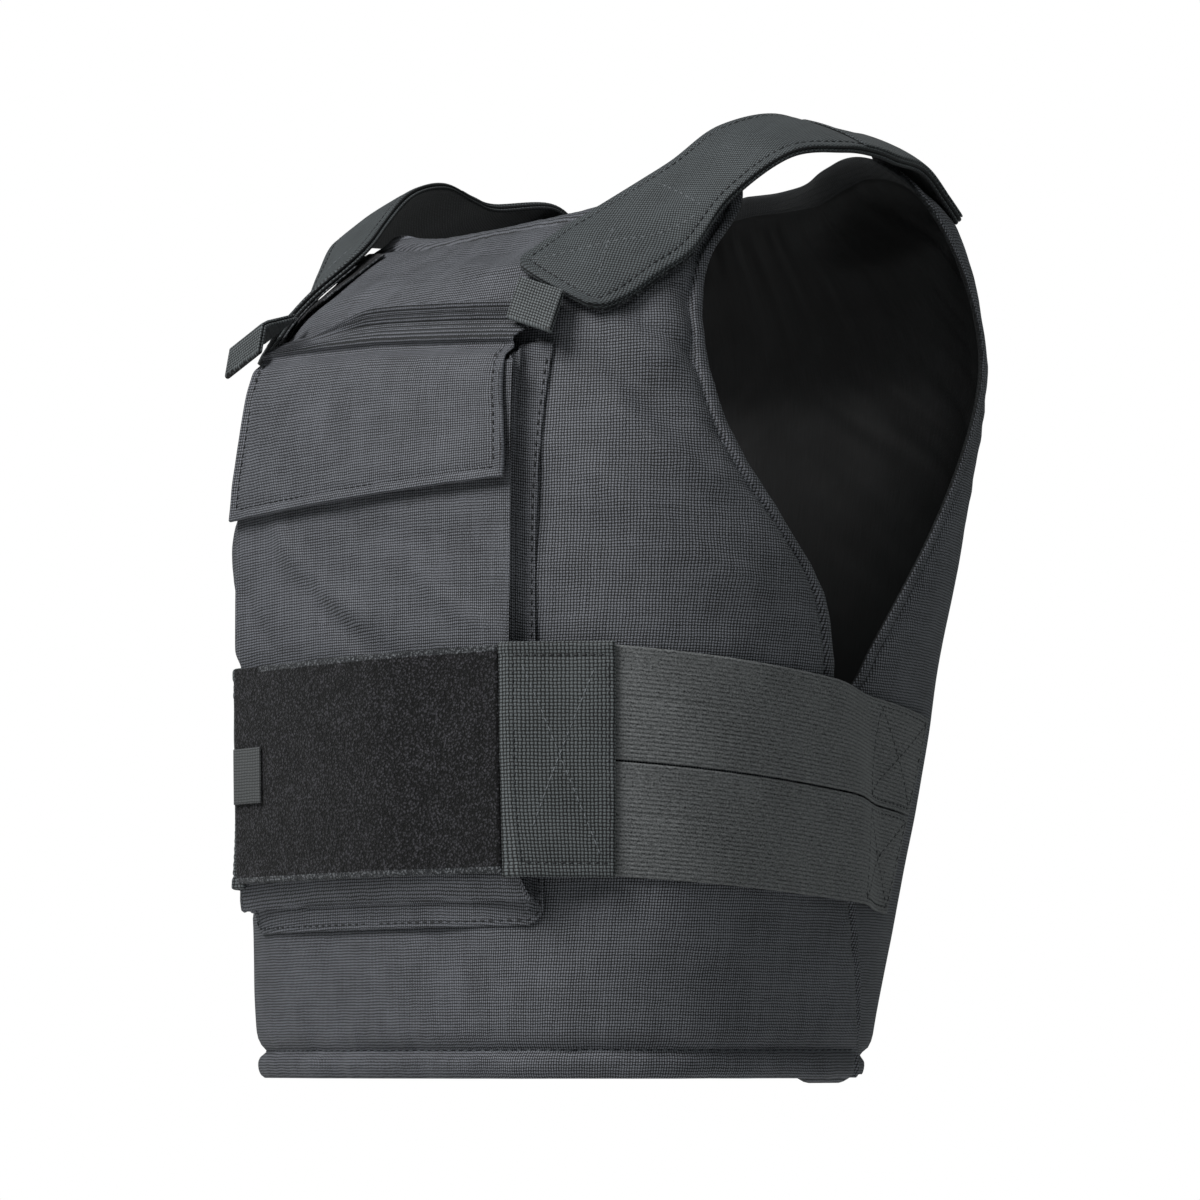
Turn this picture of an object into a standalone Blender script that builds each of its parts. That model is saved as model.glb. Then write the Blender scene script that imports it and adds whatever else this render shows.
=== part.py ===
"""Concealable soft armour vest, worn form, built as separate cloth and webbing pieces.

Lengths below are in millimetres, with height measured up from the hem. The front of the vest
faces -Y, the wearer's left is +X. At the end everything is scaled to metres and lowered so that
the origin lies between the shoulders, level with the underside of the shoulder straps.
"""
import math

import bmesh
import bpy
from mathutils import Vector

MM = 0.001
SHOULDER_HEIGHT = 425.0

# Torso shape: each row is one level section, drawn as a superellipse about (0, centre_y).
# height, half_width, face_y, centre_y, squareness
FRONT_SECTIONS = [
    (0, 141, -138, -25, 2.7),
    (70, 147, -139, -18, 2.8),
    (135, 157, -141, -9, 2.8),
    (200, 165, -142, 0, 2.8),
    (260, 163, -141, 3, 2.8),
    (310, 152, -136, 5, 2.8),
    (335, 144, -129, 6, 2.8),
    (353, 141, -118, 7, 2.7),
    (376, 147, -86, 8, 2.5),
    (400, 156, -52, 8, 2.4),
]
BACK_SECTIONS = [
    (0, 127, 103, -25, 2.6),
    (70, 133, 116, -18, 2.8),
    (135, 143, 126, -9, 2.8),
    (200, 152, 134, 0, 2.8),
    (260, 158, 145, 8, 2.9),
    (310, 160, 153, 12, 3.2),
    (335, 160, 154, 14, 3.3),
    (360, 157, 147, 16, 3.4),
    (385, 154, 134, 18, 3.4),
    (405, 150, 121, 18, 3.2),
    (438, 144, 98, 16, 3.0),
]
# Panel side edges: height, angle from the front centre line in degrees
FRONT_SIDE = [(0, 116), (75, 104), (120, 96), (168, 86.9), (189, 84.6), (210, 81.7), (235, 75.0),
              (269, 66.2), (304, 61.6), (337, 61.0), (361, 63.1), (383, 68.5), (404, 71)]
BACK_SIDE = [(0, 77), (100, 77), (140, 81), (160, 90), (172, 96.4), (189, 99.6), (215, 105), (243, 111),
             (296, 122), (322, 126), (345, 125), (365, 121), (389, 113), (426, 107)]
# Panel top edges: fraction of the half width, height
FRONT_TOP = [(0, 391), (0.42, 392.5), (0.59, 395), (0.78, 399.5), (0.90, 401), (0.96, 399.5), (1, 394)]
BACK_TOP = [(0, 428.5), (0.25, 427), (0.42, 426), (0.56, 428), (0.67, 429.5), (0.75, 427.5),
            (0.86, 419), (0.95, 408), (1, 396)]

# Forward lean of the back panel's shoulder horns: start height, full height, reach
HORN_LEAN = (390.0, 435.0, 24.0)
HORN_INNER_X = 12.0
HORN_OUTER_X = 78.0

# Panel build: a padded ballistic filling inside a thin sewn border
FRONT_THICKNESS = 11.0
BACK_THICKNESS = 10.0
BORDER_THICKNESS = 3.0
BORDER_WIDTH = 6.0
PADDING_RAMP = 14.0
BACK_HEM_DROP = 2.0

# Plate pocket on the front
POCKET_WALL = 1.3
POCKET_DEPTH = 10.0
POCKET_FACE_CURVE = 7.0
POCKET_HALF_TOP = 87.0
POCKET_HALF_MIDDLE = 90.5
POCKET_HALF_BOTTOM = 95.0
POCKET_BOTTOM = 75.0
POCKET_TOP = 316.0
POCKET_FLANGE_HALF = 94.0
POCKET_FLANGE_TOP = 326.0
POCKET_FLANGE_WIDTH = 5.0
POCKET_FLANGE_BOTTOM = 65.0
PLEAT_TUCK = 4.5
PLEAT_LIFT = 0.52
TILT_LEFT = -0.09
TILT_RIGHT = -0.05
SEAT_GAP = 1.1

# Flap over the pocket
FLAP_THICKNESS = 2.2
FLAP_HALF_TOP = 83.0
FLAP_HALF_BOTTOM = 90.0
FLAP_TOP = 341.0
FLAP_CREASE = 325.0
FLAP_BOTTOM = 254.0
FLAP_BOTTOM_TILT = 0.02
FLAP_SWING = 1.6
FLAP_CLEARANCE = 1.4

# Side closure: elastic bands, webbing patch and closure flaps
BAND_TOP_FRONT = 184.5
BAND_LOW_FRONT = 86.0
BAND_TOP_SLOPE = -0.30
BAND_LOW_SLOPE = -0.165
BAND_START_ANGLE = 46.5
BAND_START_SLANT = 0.04
BAND_END_ANGLE = 120.5
BAND_THICKNESS = 2.0
BAND_CLEARANCE_FRONT = 0.6
BAND_CLEARANCE_BACK = 0.5
BAND_SEAM_GAP = 0.8
PATCH_THICKNESS = 2.4
PATCH_INNER_X = 86.5
PATCH_END_ANGLE = 49.8
PATCH_END_SLANT = 0.04
PATCH_BOTTOM = 85.0
PATCH_TOP = 185.0
CLOSURE_THICKNESS = 2.4
CLOSURE_LEFT_END = -82.5
CLOSURE_RIGHT_END = 18.0
TAB_HALF_HEIGHT = 12.5
TAB_CENTRE = 135.0

# Shoulder straps: webbing layers sewn to one thickness
STRAP_THICKNESS = 4.0
STRAP_BELLY = 1.6
LOOP_FIELD_THICKNESS = 1.0
LOOP_FIELD_GAP = 0.7
PULL_TAB_WIDTH = 25.0
PULL_TAB_THICKNESS = 3.0


def smoothstep(value):
    """Ease from 0 to 1."""
    value = min(1.0, max(0.0, value))
    return value * value * (3.0 - 2.0 * value)


def mix(first, second, amount):
    """Linear mix of two numbers or vectors."""
    return first + (second - first) * amount


def curve(rows, key, column=1):
    """Smooth interpolation down one column of a table, keyed by its first column."""
    key = min(rows[-1][0], max(rows[0][0], key))
    index = 0
    while index < len(rows) - 2 and key > rows[index + 1][0]:
        index += 1

    def slope(row):
        low = rows[max(0, row - 1)]
        high = rows[min(len(rows) - 1, row + 1)]
        return (high[column] - low[column]) / (high[0] - low[0])

    span = rows[index + 1][0] - rows[index][0]
    t = (key - rows[index][0]) / span
    start = rows[index][column]
    end = rows[index + 1][column]
    ease = t * t * (3.0 - 2.0 * t)
    bend = t * (1.0 - t) * span
    return start + (end - start) * ease + bend * ((1.0 - t) * slope(index) - t * slope(index + 1))


def section_point(rows, angle, height):
    """Point of a torso section in the direction of an angle from the front centre line."""
    half, face, centre, power = (curve(rows, height, column) for column in (1, 2, 3, 4))
    depth = abs(face - centre)
    turn = math.radians(angle)
    east = math.sin(turn)
    south = math.cos(turn)
    radius = (abs(east / half) ** power + abs(south / depth) ** power) ** (-1.0 / power)
    point = Vector((radius * east, centre - radius * south, height))
    if rows is BACK_SECTIONS:
        start, full, reach = HORN_LEAN
        rise = smoothstep((height - start) / (full - start))
        point.y -= reach * rise * smoothstep((abs(point.x) - HORN_INNER_X) / (HORN_OUTER_X - HORN_INNER_X))
    return point


def torso_point(rows, angle, height, out=0.0):
    """Torso point moved outwards along the true surface normal."""
    point = section_point(rows, angle, height)
    if not out:
        return point
    around = section_point(rows, angle + 0.5, height) - section_point(rows, angle - 0.5, height)
    upward = section_point(rows, angle, height + 1.0) - section_point(rows, angle, height - 1.0)
    return point + around.cross(upward).normalized() * out


def front_face_y(across, height):
    """Depth of the front panel's outer face at a distance from the centre line."""
    half, face, centre, power = (curve(FRONT_SECTIONS, height, column) for column in (1, 2, 3, 4))
    reach = max(0.0, 1.0 - (abs(across) / half) ** power)
    return centre - (centre - face) * reach ** (1.0 / power)


def pocket_face_y(across, height):
    """Depth of the pocket's front face, flatter than the panel behind it."""
    face = curve(FRONT_SECTIONS, height, 2)
    return face - POCKET_DEPTH + POCKET_FACE_CURVE * (across / POCKET_HALF_MIDDLE) ** 2


def spread(start, end, count):
    """Evenly spaced values, both ends included."""
    return [mix(start, end, step / count) for step in range(count + 1)]


def face_outwards(bm):
    """Turn every face of a closed solid outwards."""
    bmesh.ops.recalc_face_normals(bm, faces=bm.faces[:])
    if bm.calc_volume(signed=True) < 0.0:
        bmesh.ops.reverse_faces(bm, faces=bm.faces[:])


def link_solid(name, bm):
    """Store a closed solid as a named object."""
    face_outwards(bm)
    mesh = bpy.data.meshes.new(name)
    bm.to_mesh(mesh)
    bm.free()
    item = bpy.data.objects.new(name, mesh)
    bpy.context.collection.objects.link(item)
    return item


def new_object(name, bm):
    """Lower a finished solid to the shoulder origin, scale it to metres and link it."""
    bmesh.ops.translate(bm, verts=bm.verts[:], vec=(0.0, 0.0, -SHOULDER_HEIGHT))
    bmesh.ops.scale(bm, verts=bm.verts[:], vec=(MM, MM, MM))
    return link_solid(name, bm)


def layered_sheet(name, columns, rows, outer, inner):
    """Closed cloth solid: one grid extruded to two skins, each placed by its own function."""
    bm = bmesh.new()
    across = len(columns) - 1
    along = len(rows) - 1
    bmesh.ops.create_grid(bm, x_segments=across, y_segments=along, size=0.5)
    back_skin = list(bm.verts)
    grown = bmesh.ops.extrude_face_region(bm, geom=bm.faces[:], use_keep_orig=True)
    front_skin = [item for item in grown["geom"] if isinstance(item, bmesh.types.BMVert)]
    for skin, place in ((back_skin, inner), (front_skin, outer)):
        for vert in skin:
            column = columns[round((vert.co.x + 0.5) * across)]
            row = rows[round((vert.co.y + 0.5) * along)]
            vert.co = place(column, row)
    return new_object(name, bm)


def mirrored(item, name):
    """Copy of a left piece, mirrored to the right side of the body."""
    bm = bmesh.new()
    bm.from_mesh(item.data)
    bmesh.ops.scale(bm, verts=bm.verts[:], vec=(-1.0, 1.0, 1.0))
    return link_solid(name, bm)


def paint(items, name, colour, roughness):
    """Give each object its own cloth material."""
    for item in items:
        material = bpy.data.materials.new(name + "_" + item.name)
        material.use_nodes = True
        shader = material.node_tree.nodes["Principled BSDF"]
        shader.inputs["Base Color"].default_value = (*colour, 1.0)
        shader.inputs["Roughness"].default_value = roughness
        shader.inputs["Metallic"].default_value = 0.0
        item.data.materials.append(material)


# Front and back panels

def border_blend(side_gap, top_gap, hem_gap):
    """Share of full padding at a distance from the panel's nearest edge."""
    return smoothstep((min(side_gap, top_gap, hem_gap) - BORDER_WIDTH) / PADDING_RAMP)


def front_padding(share, height):
    """Padding share of the front panel at a share of its half width and a height."""
    side = math.radians(curve(FRONT_SIDE, height)) * 150.0 * (1.0 - abs(share))
    top = curve(FRONT_TOP, abs(share)) - height
    return border_blend(side, top, height)


def back_padding(share, height):
    """Padding share of the back panel at a share of its half width and a height."""
    side = math.radians(180.0 - curve(BACK_SIDE, height)) * 155.0 * (1.0 - abs(share))
    top = curve(BACK_TOP, abs(share)) - height
    return border_blend(side, top, height + BACK_HEM_DROP)


def edge_spacing(length, count):
    """Grid lines from 0 to 1 with close lines at both ends, where the padding ramps."""
    near = [0.0, 5.0 / length, 11.0 / length, 18.0 / length]
    inner = spread(near[-1], 1.0 - near[-1], count)
    return near[:-1] + inner + [1.0 - value for value in reversed(near[:-1])]


def skin_depth(thickness, padding, side):
    """Offset from the reference face: side 0 is the outer skin, side 1 the inner skin."""
    middle = 0.5 * (thickness + BORDER_THICKNESS) * 0.5 + 1.0
    border = middle - 0.5 * BORDER_THICKNESS if side == 0 else middle + 0.5 * BORDER_THICKNESS
    full = 0.0 if side == 0 else thickness
    return -mix(border, full, padding)


def build_panels():
    columns = [2.0 * value - 1.0 for value in edge_spacing(460.0, 20)]
    rows = edge_spacing(400.0, 16)

    def front_skin(side):
        def place(share, climb):
            height = climb * curve(FRONT_TOP, abs(share))
            angle = share * curve(FRONT_SIDE, height)
            offset = skin_depth(FRONT_THICKNESS, front_padding(share, height), side)
            return torso_point(FRONT_SECTIONS, angle, height, offset)
        return place

    def back_skin(side):
        def place(share, climb):
            height = mix(-BACK_HEM_DROP, curve(BACK_TOP, abs(share)), climb)
            angle = 180.0 - share * (180.0 - curve(BACK_SIDE, height))
            offset = skin_depth(BACK_THICKNESS, back_padding(share, height), side)
            return torso_point(BACK_SECTIONS, angle, height, offset)
        return place

    front = layered_sheet("front_panel", columns, rows, front_skin(0), front_skin(1))
    back = layered_sheet("back_panel", columns, rows, back_skin(0), back_skin(1))
    return [front, back]


# Plate pocket and its flap

def pocket_half(height):
    """Half width of the pocket's front face, wider at the pleated bottom."""
    rows = [(POCKET_BOTTOM, POCKET_HALF_BOTTOM), (120, POCKET_HALF_MIDDLE), (250, POCKET_HALF_MIDDLE),
            (POCKET_TOP, POCKET_HALF_TOP)]
    return curve(rows, height)


def top_tilt(across):
    """Uneven height of the pocket top and flap hinge, drooping towards the wearer's left."""
    return across * (TILT_LEFT if across > 0.0 else TILT_RIGHT)


def build_pocket():
    """Bellows pocket, open at the top: sewn flange, pleated gusset and front face."""
    # Lines across: distance where the line lies flat on the panel, tuck from the face edge
    # where the line is raised, and lift off the panel
    flange_in = POCKET_FLANGE_HALF - POCKET_FLANGE_WIDTH
    side_lines = [(POCKET_FLANGE_HALF, None, 0.0), (flange_in, None, 0.0),
                  (flange_in - 2.0, PLEAT_TUCK, PLEAT_LIFT), (flange_in - 4.0, 0.0, 1.0)]
    shares = spread(0.92, -0.92, 10)
    # Lines upwards: height where flat, height where raised, lift
    bottom_in = POCKET_FLANGE_BOTTOM + POCKET_FLANGE_WIDTH
    rise = [(POCKET_FLANGE_BOTTOM, POCKET_FLANGE_BOTTOM, 0.0), (bottom_in, bottom_in, 0.0),
            (bottom_in + 2.0, POCKET_BOTTOM + 3.0, PLEAT_LIFT), (bottom_in + 4.0, POCKET_BOTTOM, 1.0),
            (POCKET_BOTTOM + 10.0, POCKET_BOTTOM + 10.0, 1.0)]
    rise += [(height, height, 1.0) for height in spread(POCKET_BOTTOM + 26.0, POCKET_TOP - 20.0, 11)]
    rise += [(POCKET_FLANGE_TOP, POCKET_TOP, 1.0)]

    sides = len(side_lines)
    across = 2 * sides + len(shares) - 1
    along = len(rise) - 1
    bm = bmesh.new()
    bmesh.ops.create_grid(bm, x_segments=across, y_segments=along, size=0.5)
    for vert in bm.verts:
        column = round((vert.co.x + 0.5) * across)
        flat_z, raised_z, rise_lift = rise[round((vert.co.y + 0.5) * along)]
        if sides <= column < sides + len(shares):
            share = shares[column - sides]
            flat_x = share * side_lines[-1][0]
            raised_x = share * pocket_half(raised_z)
            side_lift = 1.0
        else:
            sign = 1.0 if column < sides else -1.0
            flat_x, tuck, side_lift = side_lines[column if sign > 0.0 else across - column]
            raised_x = sign * (flat_x if tuck is None else pocket_half(raised_z) - tuck)
            flat_x *= sign
        x = mix(flat_x, raised_x, rise_lift)
        height = mix(flat_z, raised_z, side_lift)
        height += top_tilt(x) * smoothstep((height - 200.0) / (POCKET_TOP - 200.0))
        seated = front_face_y(x, height) - SEAT_GAP - POCKET_WALL
        vert.co = Vector((x, mix(seated, pocket_face_y(x, height), min(side_lift, rise_lift)), height))
    bmesh.ops.recalc_face_normals(bm, faces=bm.faces[:])
    foremost = min(bm.faces, key=lambda face: face.calc_center_median().y)
    if foremost.normal.y > 0.0:
        bmesh.ops.reverse_faces(bm, faces=bm.faces[:])
    bmesh.ops.solidify(bm, geom=bm.faces[:], thickness=POCKET_WALL)
    return new_object("plate_pocket", bm)


def front_face_point(across, height, out):
    """Front panel face at a distance from the centre line, moved out along its normal."""
    run = front_face_y(across + 1.0, height) - front_face_y(across - 1.0, height)
    rise = front_face_y(across, height + 1.0) - front_face_y(across, height - 1.0)
    normal = Vector((0.5 * run, -1.0, 0.5 * rise)).normalized()
    return Vector((across, front_face_y(across, height), height)) + normal * out


def flap_point(share, height, out):
    """Pocket flap: sewn flat at the top, creased, then hanging over the pocket face."""
    drop = (FLAP_CREASE - height) / (FLAP_CREASE - FLAP_BOTTOM)
    across = share * mix(FLAP_HALF_TOP, FLAP_HALF_BOTTOM, smoothstep(drop))
    tilt = mix(top_tilt(across), FLAP_BOTTOM_TILT * across, smoothstep(drop))
    sewn = front_face_point(across, height + tilt, SEAT_GAP + 0.3 + out)
    swing = FLAP_SWING * max(0.0, drop)
    hanging = Vector((across, pocket_face_y(across, height) - FLAP_CLEARANCE - swing - out, height + tilt))
    return mix(hanging, sewn, smoothstep((height - FLAP_CREASE + 2.0) / (FLAP_TOP - FLAP_CREASE - 5.0)))


def build_flap():
    columns = spread(-1.0, 1.0, 12)
    rows = spread(FLAP_BOTTOM, FLAP_CREASE - 4.0, 7) + spread(FLAP_CREASE, FLAP_TOP + 2.0, 6)

    def skin(out):
        def place(share, height):
            return flap_point(share, height, out)
        return place

    return layered_sheet("pocket_flap", columns, rows, skin(FLAP_THICKNESS), skin(0.0))


# Shoulder straps, their loop fields and pull tabs

def strap_stations():
    """Inner edge, middle and outer edge of the left strap, from the chest to the shoulder blade."""
    # inner angle, inner height, outer angle, outer height, clearance
    chest = [
        (28.0, 350.5, 43.5, 326.5, 5.4),
        (32.0, 361.0, 48.0, 334.0, 3.4),
        (36.5, 371.5, 53.5, 346.0, 3.0),
        (43.5, 380.0, 59.0, 357.0, 3.9),
    ]
    over = [
        (Vector((93, -50, 403)), Vector((136, -54, 382))),
        (Vector((101, -25, 422.5)), Vector((150, -31, 402.5))),
        (Vector((107, 2, 431)), Vector((158, -5, 407.5))),
        (Vector((112, 26, 428)), Vector((157, 16, 409))),
        (Vector((115, 44, 427)), Vector((152, 37, 409))),
    ]
    blade = [
        (126.5, 429.0, 113.5, 410.0, 1.6),
        (130.0, 419.0, 117.0, 400.0, 0.7),
        (132.0, 409.0, 120.0, 391.0, 0.5),
    ]

    def lying(rows, station):
        inner_angle, inner_height, outer_angle, outer_height, clearance = station
        return [torso_point(rows, mix(inner_angle, outer_angle, share),
                            mix(inner_height, outer_height, share), clearance)
                for share in (0.0, 0.5, 1.0)]

    def bridging(inner, outer):
        lift = (outer - inner).cross(Vector((0.0, 1.0, 0.0))).normalized() * STRAP_BELLY
        return [inner, mix(inner, outer, 0.5) + lift, outer]

    return ([lying(FRONT_SECTIONS, station) for station in chest]
            + [bridging(inner, outer) for inner, outer in over]
            + [lying(BACK_SECTIONS, station) for station in blade])


def spline(points, position):
    """Smooth curve through a list of points, position counted in points."""
    last = len(points) - 1
    index = min(last - 1, max(0, int(position)))
    t = position - index
    before = points[max(0, index - 1)]
    start = points[index]
    end = points[index + 1]
    after = points[min(last, index + 2)]
    rise = (end - before) * 0.5 if index > 0 else end - start
    fall = (after - start) * 0.5 if index < last - 1 else end - start
    return (start * (2 * t ** 3 - 3 * t ** 2 + 1) + rise * (t ** 3 - 2 * t ** 2 + t)
            + end * (3 * t ** 2 - 2 * t ** 3) + fall * (t ** 3 - t ** 2))


def strap_point(stations, position, share, out):
    """Point of the strap at a station position, a share of its width and a height off its seat."""
    last = len(stations) - 1

    def crossing(where, split):
        inner, middle, outer = (spline([row[line] for row in stations], where) for line in range(3))
        return (inner * (1.0 - split) * (1.0 - 2.0 * split) + middle * 4.0 * split * (1.0 - split)
                + outer * split * (2.0 * split - 1.0))

    here = min(last - 0.01, max(0.01, position))
    along = crossing(here + 0.01, share) - crossing(here - 0.01, share)
    width = crossing(here, share + 0.02) - crossing(here, share - 0.02)
    return crossing(position, share) + width.cross(along).normalized() * out


def build_straps():
    stations = strap_stations()
    last = len(stations) - 1
    positions = [0.0, 0.12, 0.3] + spread(0.6, last - 0.4, 22) + [last - 0.12, float(last)]
    shares = spread(0.0, 1.0, 5)

    def rounded(position, share):
        """Pull the corners of both ends inwards."""
        end_gap = min(position, last - position)
        pull = 0.10 * (1.0 - min(1.0, end_gap / 0.35)) ** 2
        return mix(share, 0.5, 2.0 * pull)

    def skin(out):
        def place(share, position):
            return strap_point(stations, position, rounded(position, share), out)
        return place

    strap = layered_sheet("shoulder_strap_left", shares, positions, skin(STRAP_THICKNESS), skin(0.0))

    def tab_skin(first, second, elbow, out):
        def place(share, run):
            top = strap_point(stations, 0.02, 0.42, 1.0)
            slide = Vector((share * PULL_TAB_WIDTH, share * 1.5, -share * 9.0))
            blend = smoothstep((run - elbow + 3.0) / 6.0)
            path = first * min(run, elbow) + second * max(0.0, run - elbow)
            lift = Vector((1.0, 0.06, -0.36)).cross(mix(first, second, blend)).normalized()
            return top + slide + path - lift * out
        return place

    tabs = []
    for name, first, second, elbow, start, end in (
            ("pull_tab_left", Vector((0.10, -0.46, -0.88)), Vector((0.10, -0.46, -0.88)), 14.0, 1.6, 24.0),
            ("pull_tab_right", Vector((0.10, -0.95, -0.30)), Vector((0.0, -0.20, -0.98)), 20.5, 2.1, 34.0)):
        runs = [start, mix(start, elbow, 0.5), elbow - 3.0, elbow, elbow + 3.0, end]
        tabs.append(layered_sheet(name, spread(-0.5, 0.5, 2), runs,
                                  tab_skin(first, second, elbow, PULL_TAB_THICKNESS),
                                  tab_skin(first, second, elbow, 0.0)))
    bm = bmesh.new()
    bm.from_mesh(tabs[1].data)
    bmesh.ops.scale(bm, verts=bm.verts[:], vec=(-1.0, 1.0, 1.0))
    face_outwards(bm)
    bm.to_mesh(tabs[1].data)
    bm.free()

    def field_skin(out):
        def place(share, climb):
            height = mix(mix(359.0, 337.0, share), mix(384.0, 394.0, share), climb)
            angle = mix(mix(36.0, 48.0, share), mix(44.0, 66.5, share), climb)
            spot = angle / curve(FRONT_SIDE, height)
            seat = skin_depth(FRONT_THICKNESS, front_padding(spot, height), 0)
            return torso_point(FRONT_SECTIONS, angle, height, seat + out)
        return place

    field = layered_sheet("shoulder_loop_field_left", spread(0.0, 1.0, 8), spread(0.0, 1.0, 8),
                          field_skin(LOOP_FIELD_GAP + LOOP_FIELD_THICKNESS), field_skin(LOOP_FIELD_GAP))
    straps = [strap, mirrored(strap, "shoulder_strap_right")]
    fields = [field, mirrored(field, "shoulder_loop_field_right")]
    return straps, tabs, fields


# Side elastic, webbing patches and closure flaps

def band_edge(angle, share):
    """Height of a line along the side band, share 0 at its lower edge and 1 at its upper."""
    low = BAND_LOW_FRONT + BAND_LOW_SLOPE * (angle - BAND_START_ANGLE)
    top = BAND_TOP_FRONT + BAND_TOP_SLOPE * (angle - BAND_START_ANGLE)
    return mix(low, top, share)


def band_point(angle, height, out):
    """Side band seat: over the front panel, then stepping down onto the back panel."""
    leave = (angle - curve(FRONT_SIDE, height) + 3.0) / 17.0
    on_front = torso_point(FRONT_SECTIONS, angle, height, BAND_CLEARANCE_FRONT + out)
    on_back = torso_point(BACK_SECTIONS, angle, height, BAND_CLEARANCE_BACK + out)
    return mix(on_front, on_back, smoothstep(leave))


def build_bands():
    angles = spread(BAND_START_ANGLE, BAND_END_ANGLE, 18)
    half_gap = 0.5 * BAND_SEAM_GAP / (BAND_TOP_FRONT - BAND_LOW_FRONT)
    made = []
    for name, low, high in (("side_elastic_lower_left", 0.0, 0.5 - half_gap),
                            ("side_elastic_upper_left", 0.5 + half_gap, 1.0)):
        def skin(out):
            def place(angle, share):
                height = band_edge(angle, share)
                slant = BAND_START_SLANT * (TAB_CENTRE - height)
                slant *= (BAND_END_ANGLE - angle) / (BAND_END_ANGLE - BAND_START_ANGLE)
                return band_point(angle + slant, height, out)
            return place
        band = layered_sheet(name, angles, spread(low, high, 3), skin(BAND_THICKNESS), skin(0.0))
        made += [band, mirrored(band, name.replace("_left", "_right"))]
    return made


def patch_path(share, height, out):
    """Webbing patch: from the pocket's front edge straight across to the elastic."""
    corner_x = pocket_half(height) + 0.9
    start = Vector((PATCH_INNER_X, pocket_face_y(PATCH_INNER_X, height) - 0.6, height))
    corner = Vector((corner_x, pocket_face_y(corner_x, height) - 0.5, height))
    end_angle = PATCH_END_ANGLE + PATCH_END_SLANT * (TAB_CENTRE - height)
    end = torso_point(FRONT_SECTIONS, end_angle, height, BAND_CLEARANCE_FRONT + BAND_THICKNESS + 0.5)
    face_out = Vector((0.0, -1.0, 0.0))
    slant_out = (end - corner).cross(Vector((0.0, 0.0, 1.0))).normalized()
    if share <= 0.2:
        base = mix(start, corner, share / 0.2)
        turn = share / 0.2 * 0.5
    else:
        base = mix(corner, end, (share - 0.2) / 0.8)
        turn = 0.5 + 0.5 * min(1.0, (share - 0.2) / 0.2)
    direction = mix(face_out, slant_out, turn).normalized()
    stretch = 1.0 / math.cos(0.5 * face_out.angle(slant_out) * (1.0 - abs(2.0 * turn - 1.0)))
    return base + direction * out * stretch


def closure_point(across, height, out, under):
    """Closure flap seat on the pocket face; the left one rides over the right one."""
    raise_by = 0.0 if under else (CLOSURE_THICKNESS + 0.8) * smoothstep((62.0 - across) / 48.0)
    return Vector((across, pocket_face_y(across, height) - 0.6 - raise_by - out, height))


def build_closures():
    def patch_skin(out):
        def place(share, height):
            return patch_path(share, height, out)
        return place

    patch = layered_sheet("webbing_patch_left", [0.0, 0.1, 0.2, 0.28, 0.4, 0.6, 0.8, 1.0],
                          spread(PATCH_BOTTOM, PATCH_TOP, 6), patch_skin(PATCH_THICKNESS), patch_skin(0.0))
    patches = [patch, mirrored(patch, "webbing_patch_right")]

    def flap_skin(out, under):
        def place(across, height):
            return closure_point(across, height, out, under)
        return place

    heights = spread(PATCH_BOTTOM + 2.0, PATCH_TOP - 1.0, 6)
    left = layered_sheet("closure_flap_left", spread(CLOSURE_LEFT_END, PATCH_INNER_X - 0.5, 18), heights,
                         flap_skin(CLOSURE_THICKNESS, False), flap_skin(0.0, False))
    right = layered_sheet("closure_flap_right", spread(-PATCH_INNER_X + 0.5, CLOSURE_RIGHT_END, 10), heights,
                          flap_skin(CLOSURE_THICKNESS, True), flap_skin(0.0, True))

    def tab_skin(out):
        def place(across, height):
            return closure_point(across, height, CLOSURE_THICKNESS + 0.4 + out, False)
        return place

    tab = layered_sheet("closure_end_tab", spread(CLOSURE_LEFT_END, CLOSURE_LEFT_END + 22.0, 4),
                        spread(TAB_CENTRE - TAB_HALF_HEIGHT, TAB_CENTRE + TAB_HALF_HEIGHT, 2),
                        tab_skin(1.6), tab_skin(0.0))
    return patches, [left, right], [tab]


def main():
    for item in list(bpy.data.objects):
        bpy.data.objects.remove(item, do_unlink=True)
    panels = build_panels()
    pocket = build_pocket()
    flap = build_flap()
    straps, tabs, fields = build_straps()
    bands = build_bands()
    patches, flaps, end_tab = build_closures()
    paint(panels + [pocket, flap], "charcoal_oxford", (0.085, 0.088, 0.098), 0.75)
    paint(straps, "charcoal_strap_cloth", (0.070, 0.075, 0.082), 0.78)
    paint(bands, "grey_elastic", (0.056, 0.059, 0.060), 0.85)
    paint(patches + tabs + end_tab, "grey_webbing", (0.052, 0.056, 0.057), 0.8)
    paint(flaps + fields, "black_loop_pile", (0.024, 0.022, 0.024), 0.95)


main()
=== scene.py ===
"""Looks of a concealable soft armour vest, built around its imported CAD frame.

Lengths in the tables are millimetres and heights are measured up from the hem, as in the
CAD source. The front faces -Y and the wearer's left is +X. Every finished mesh is in metres
in the frame's own coordinates, with its object at the origin.
"""
import math
from functools import cache

import bmesh
import bpy
import numpy as np
from mathutils import Matrix, Vector


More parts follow.
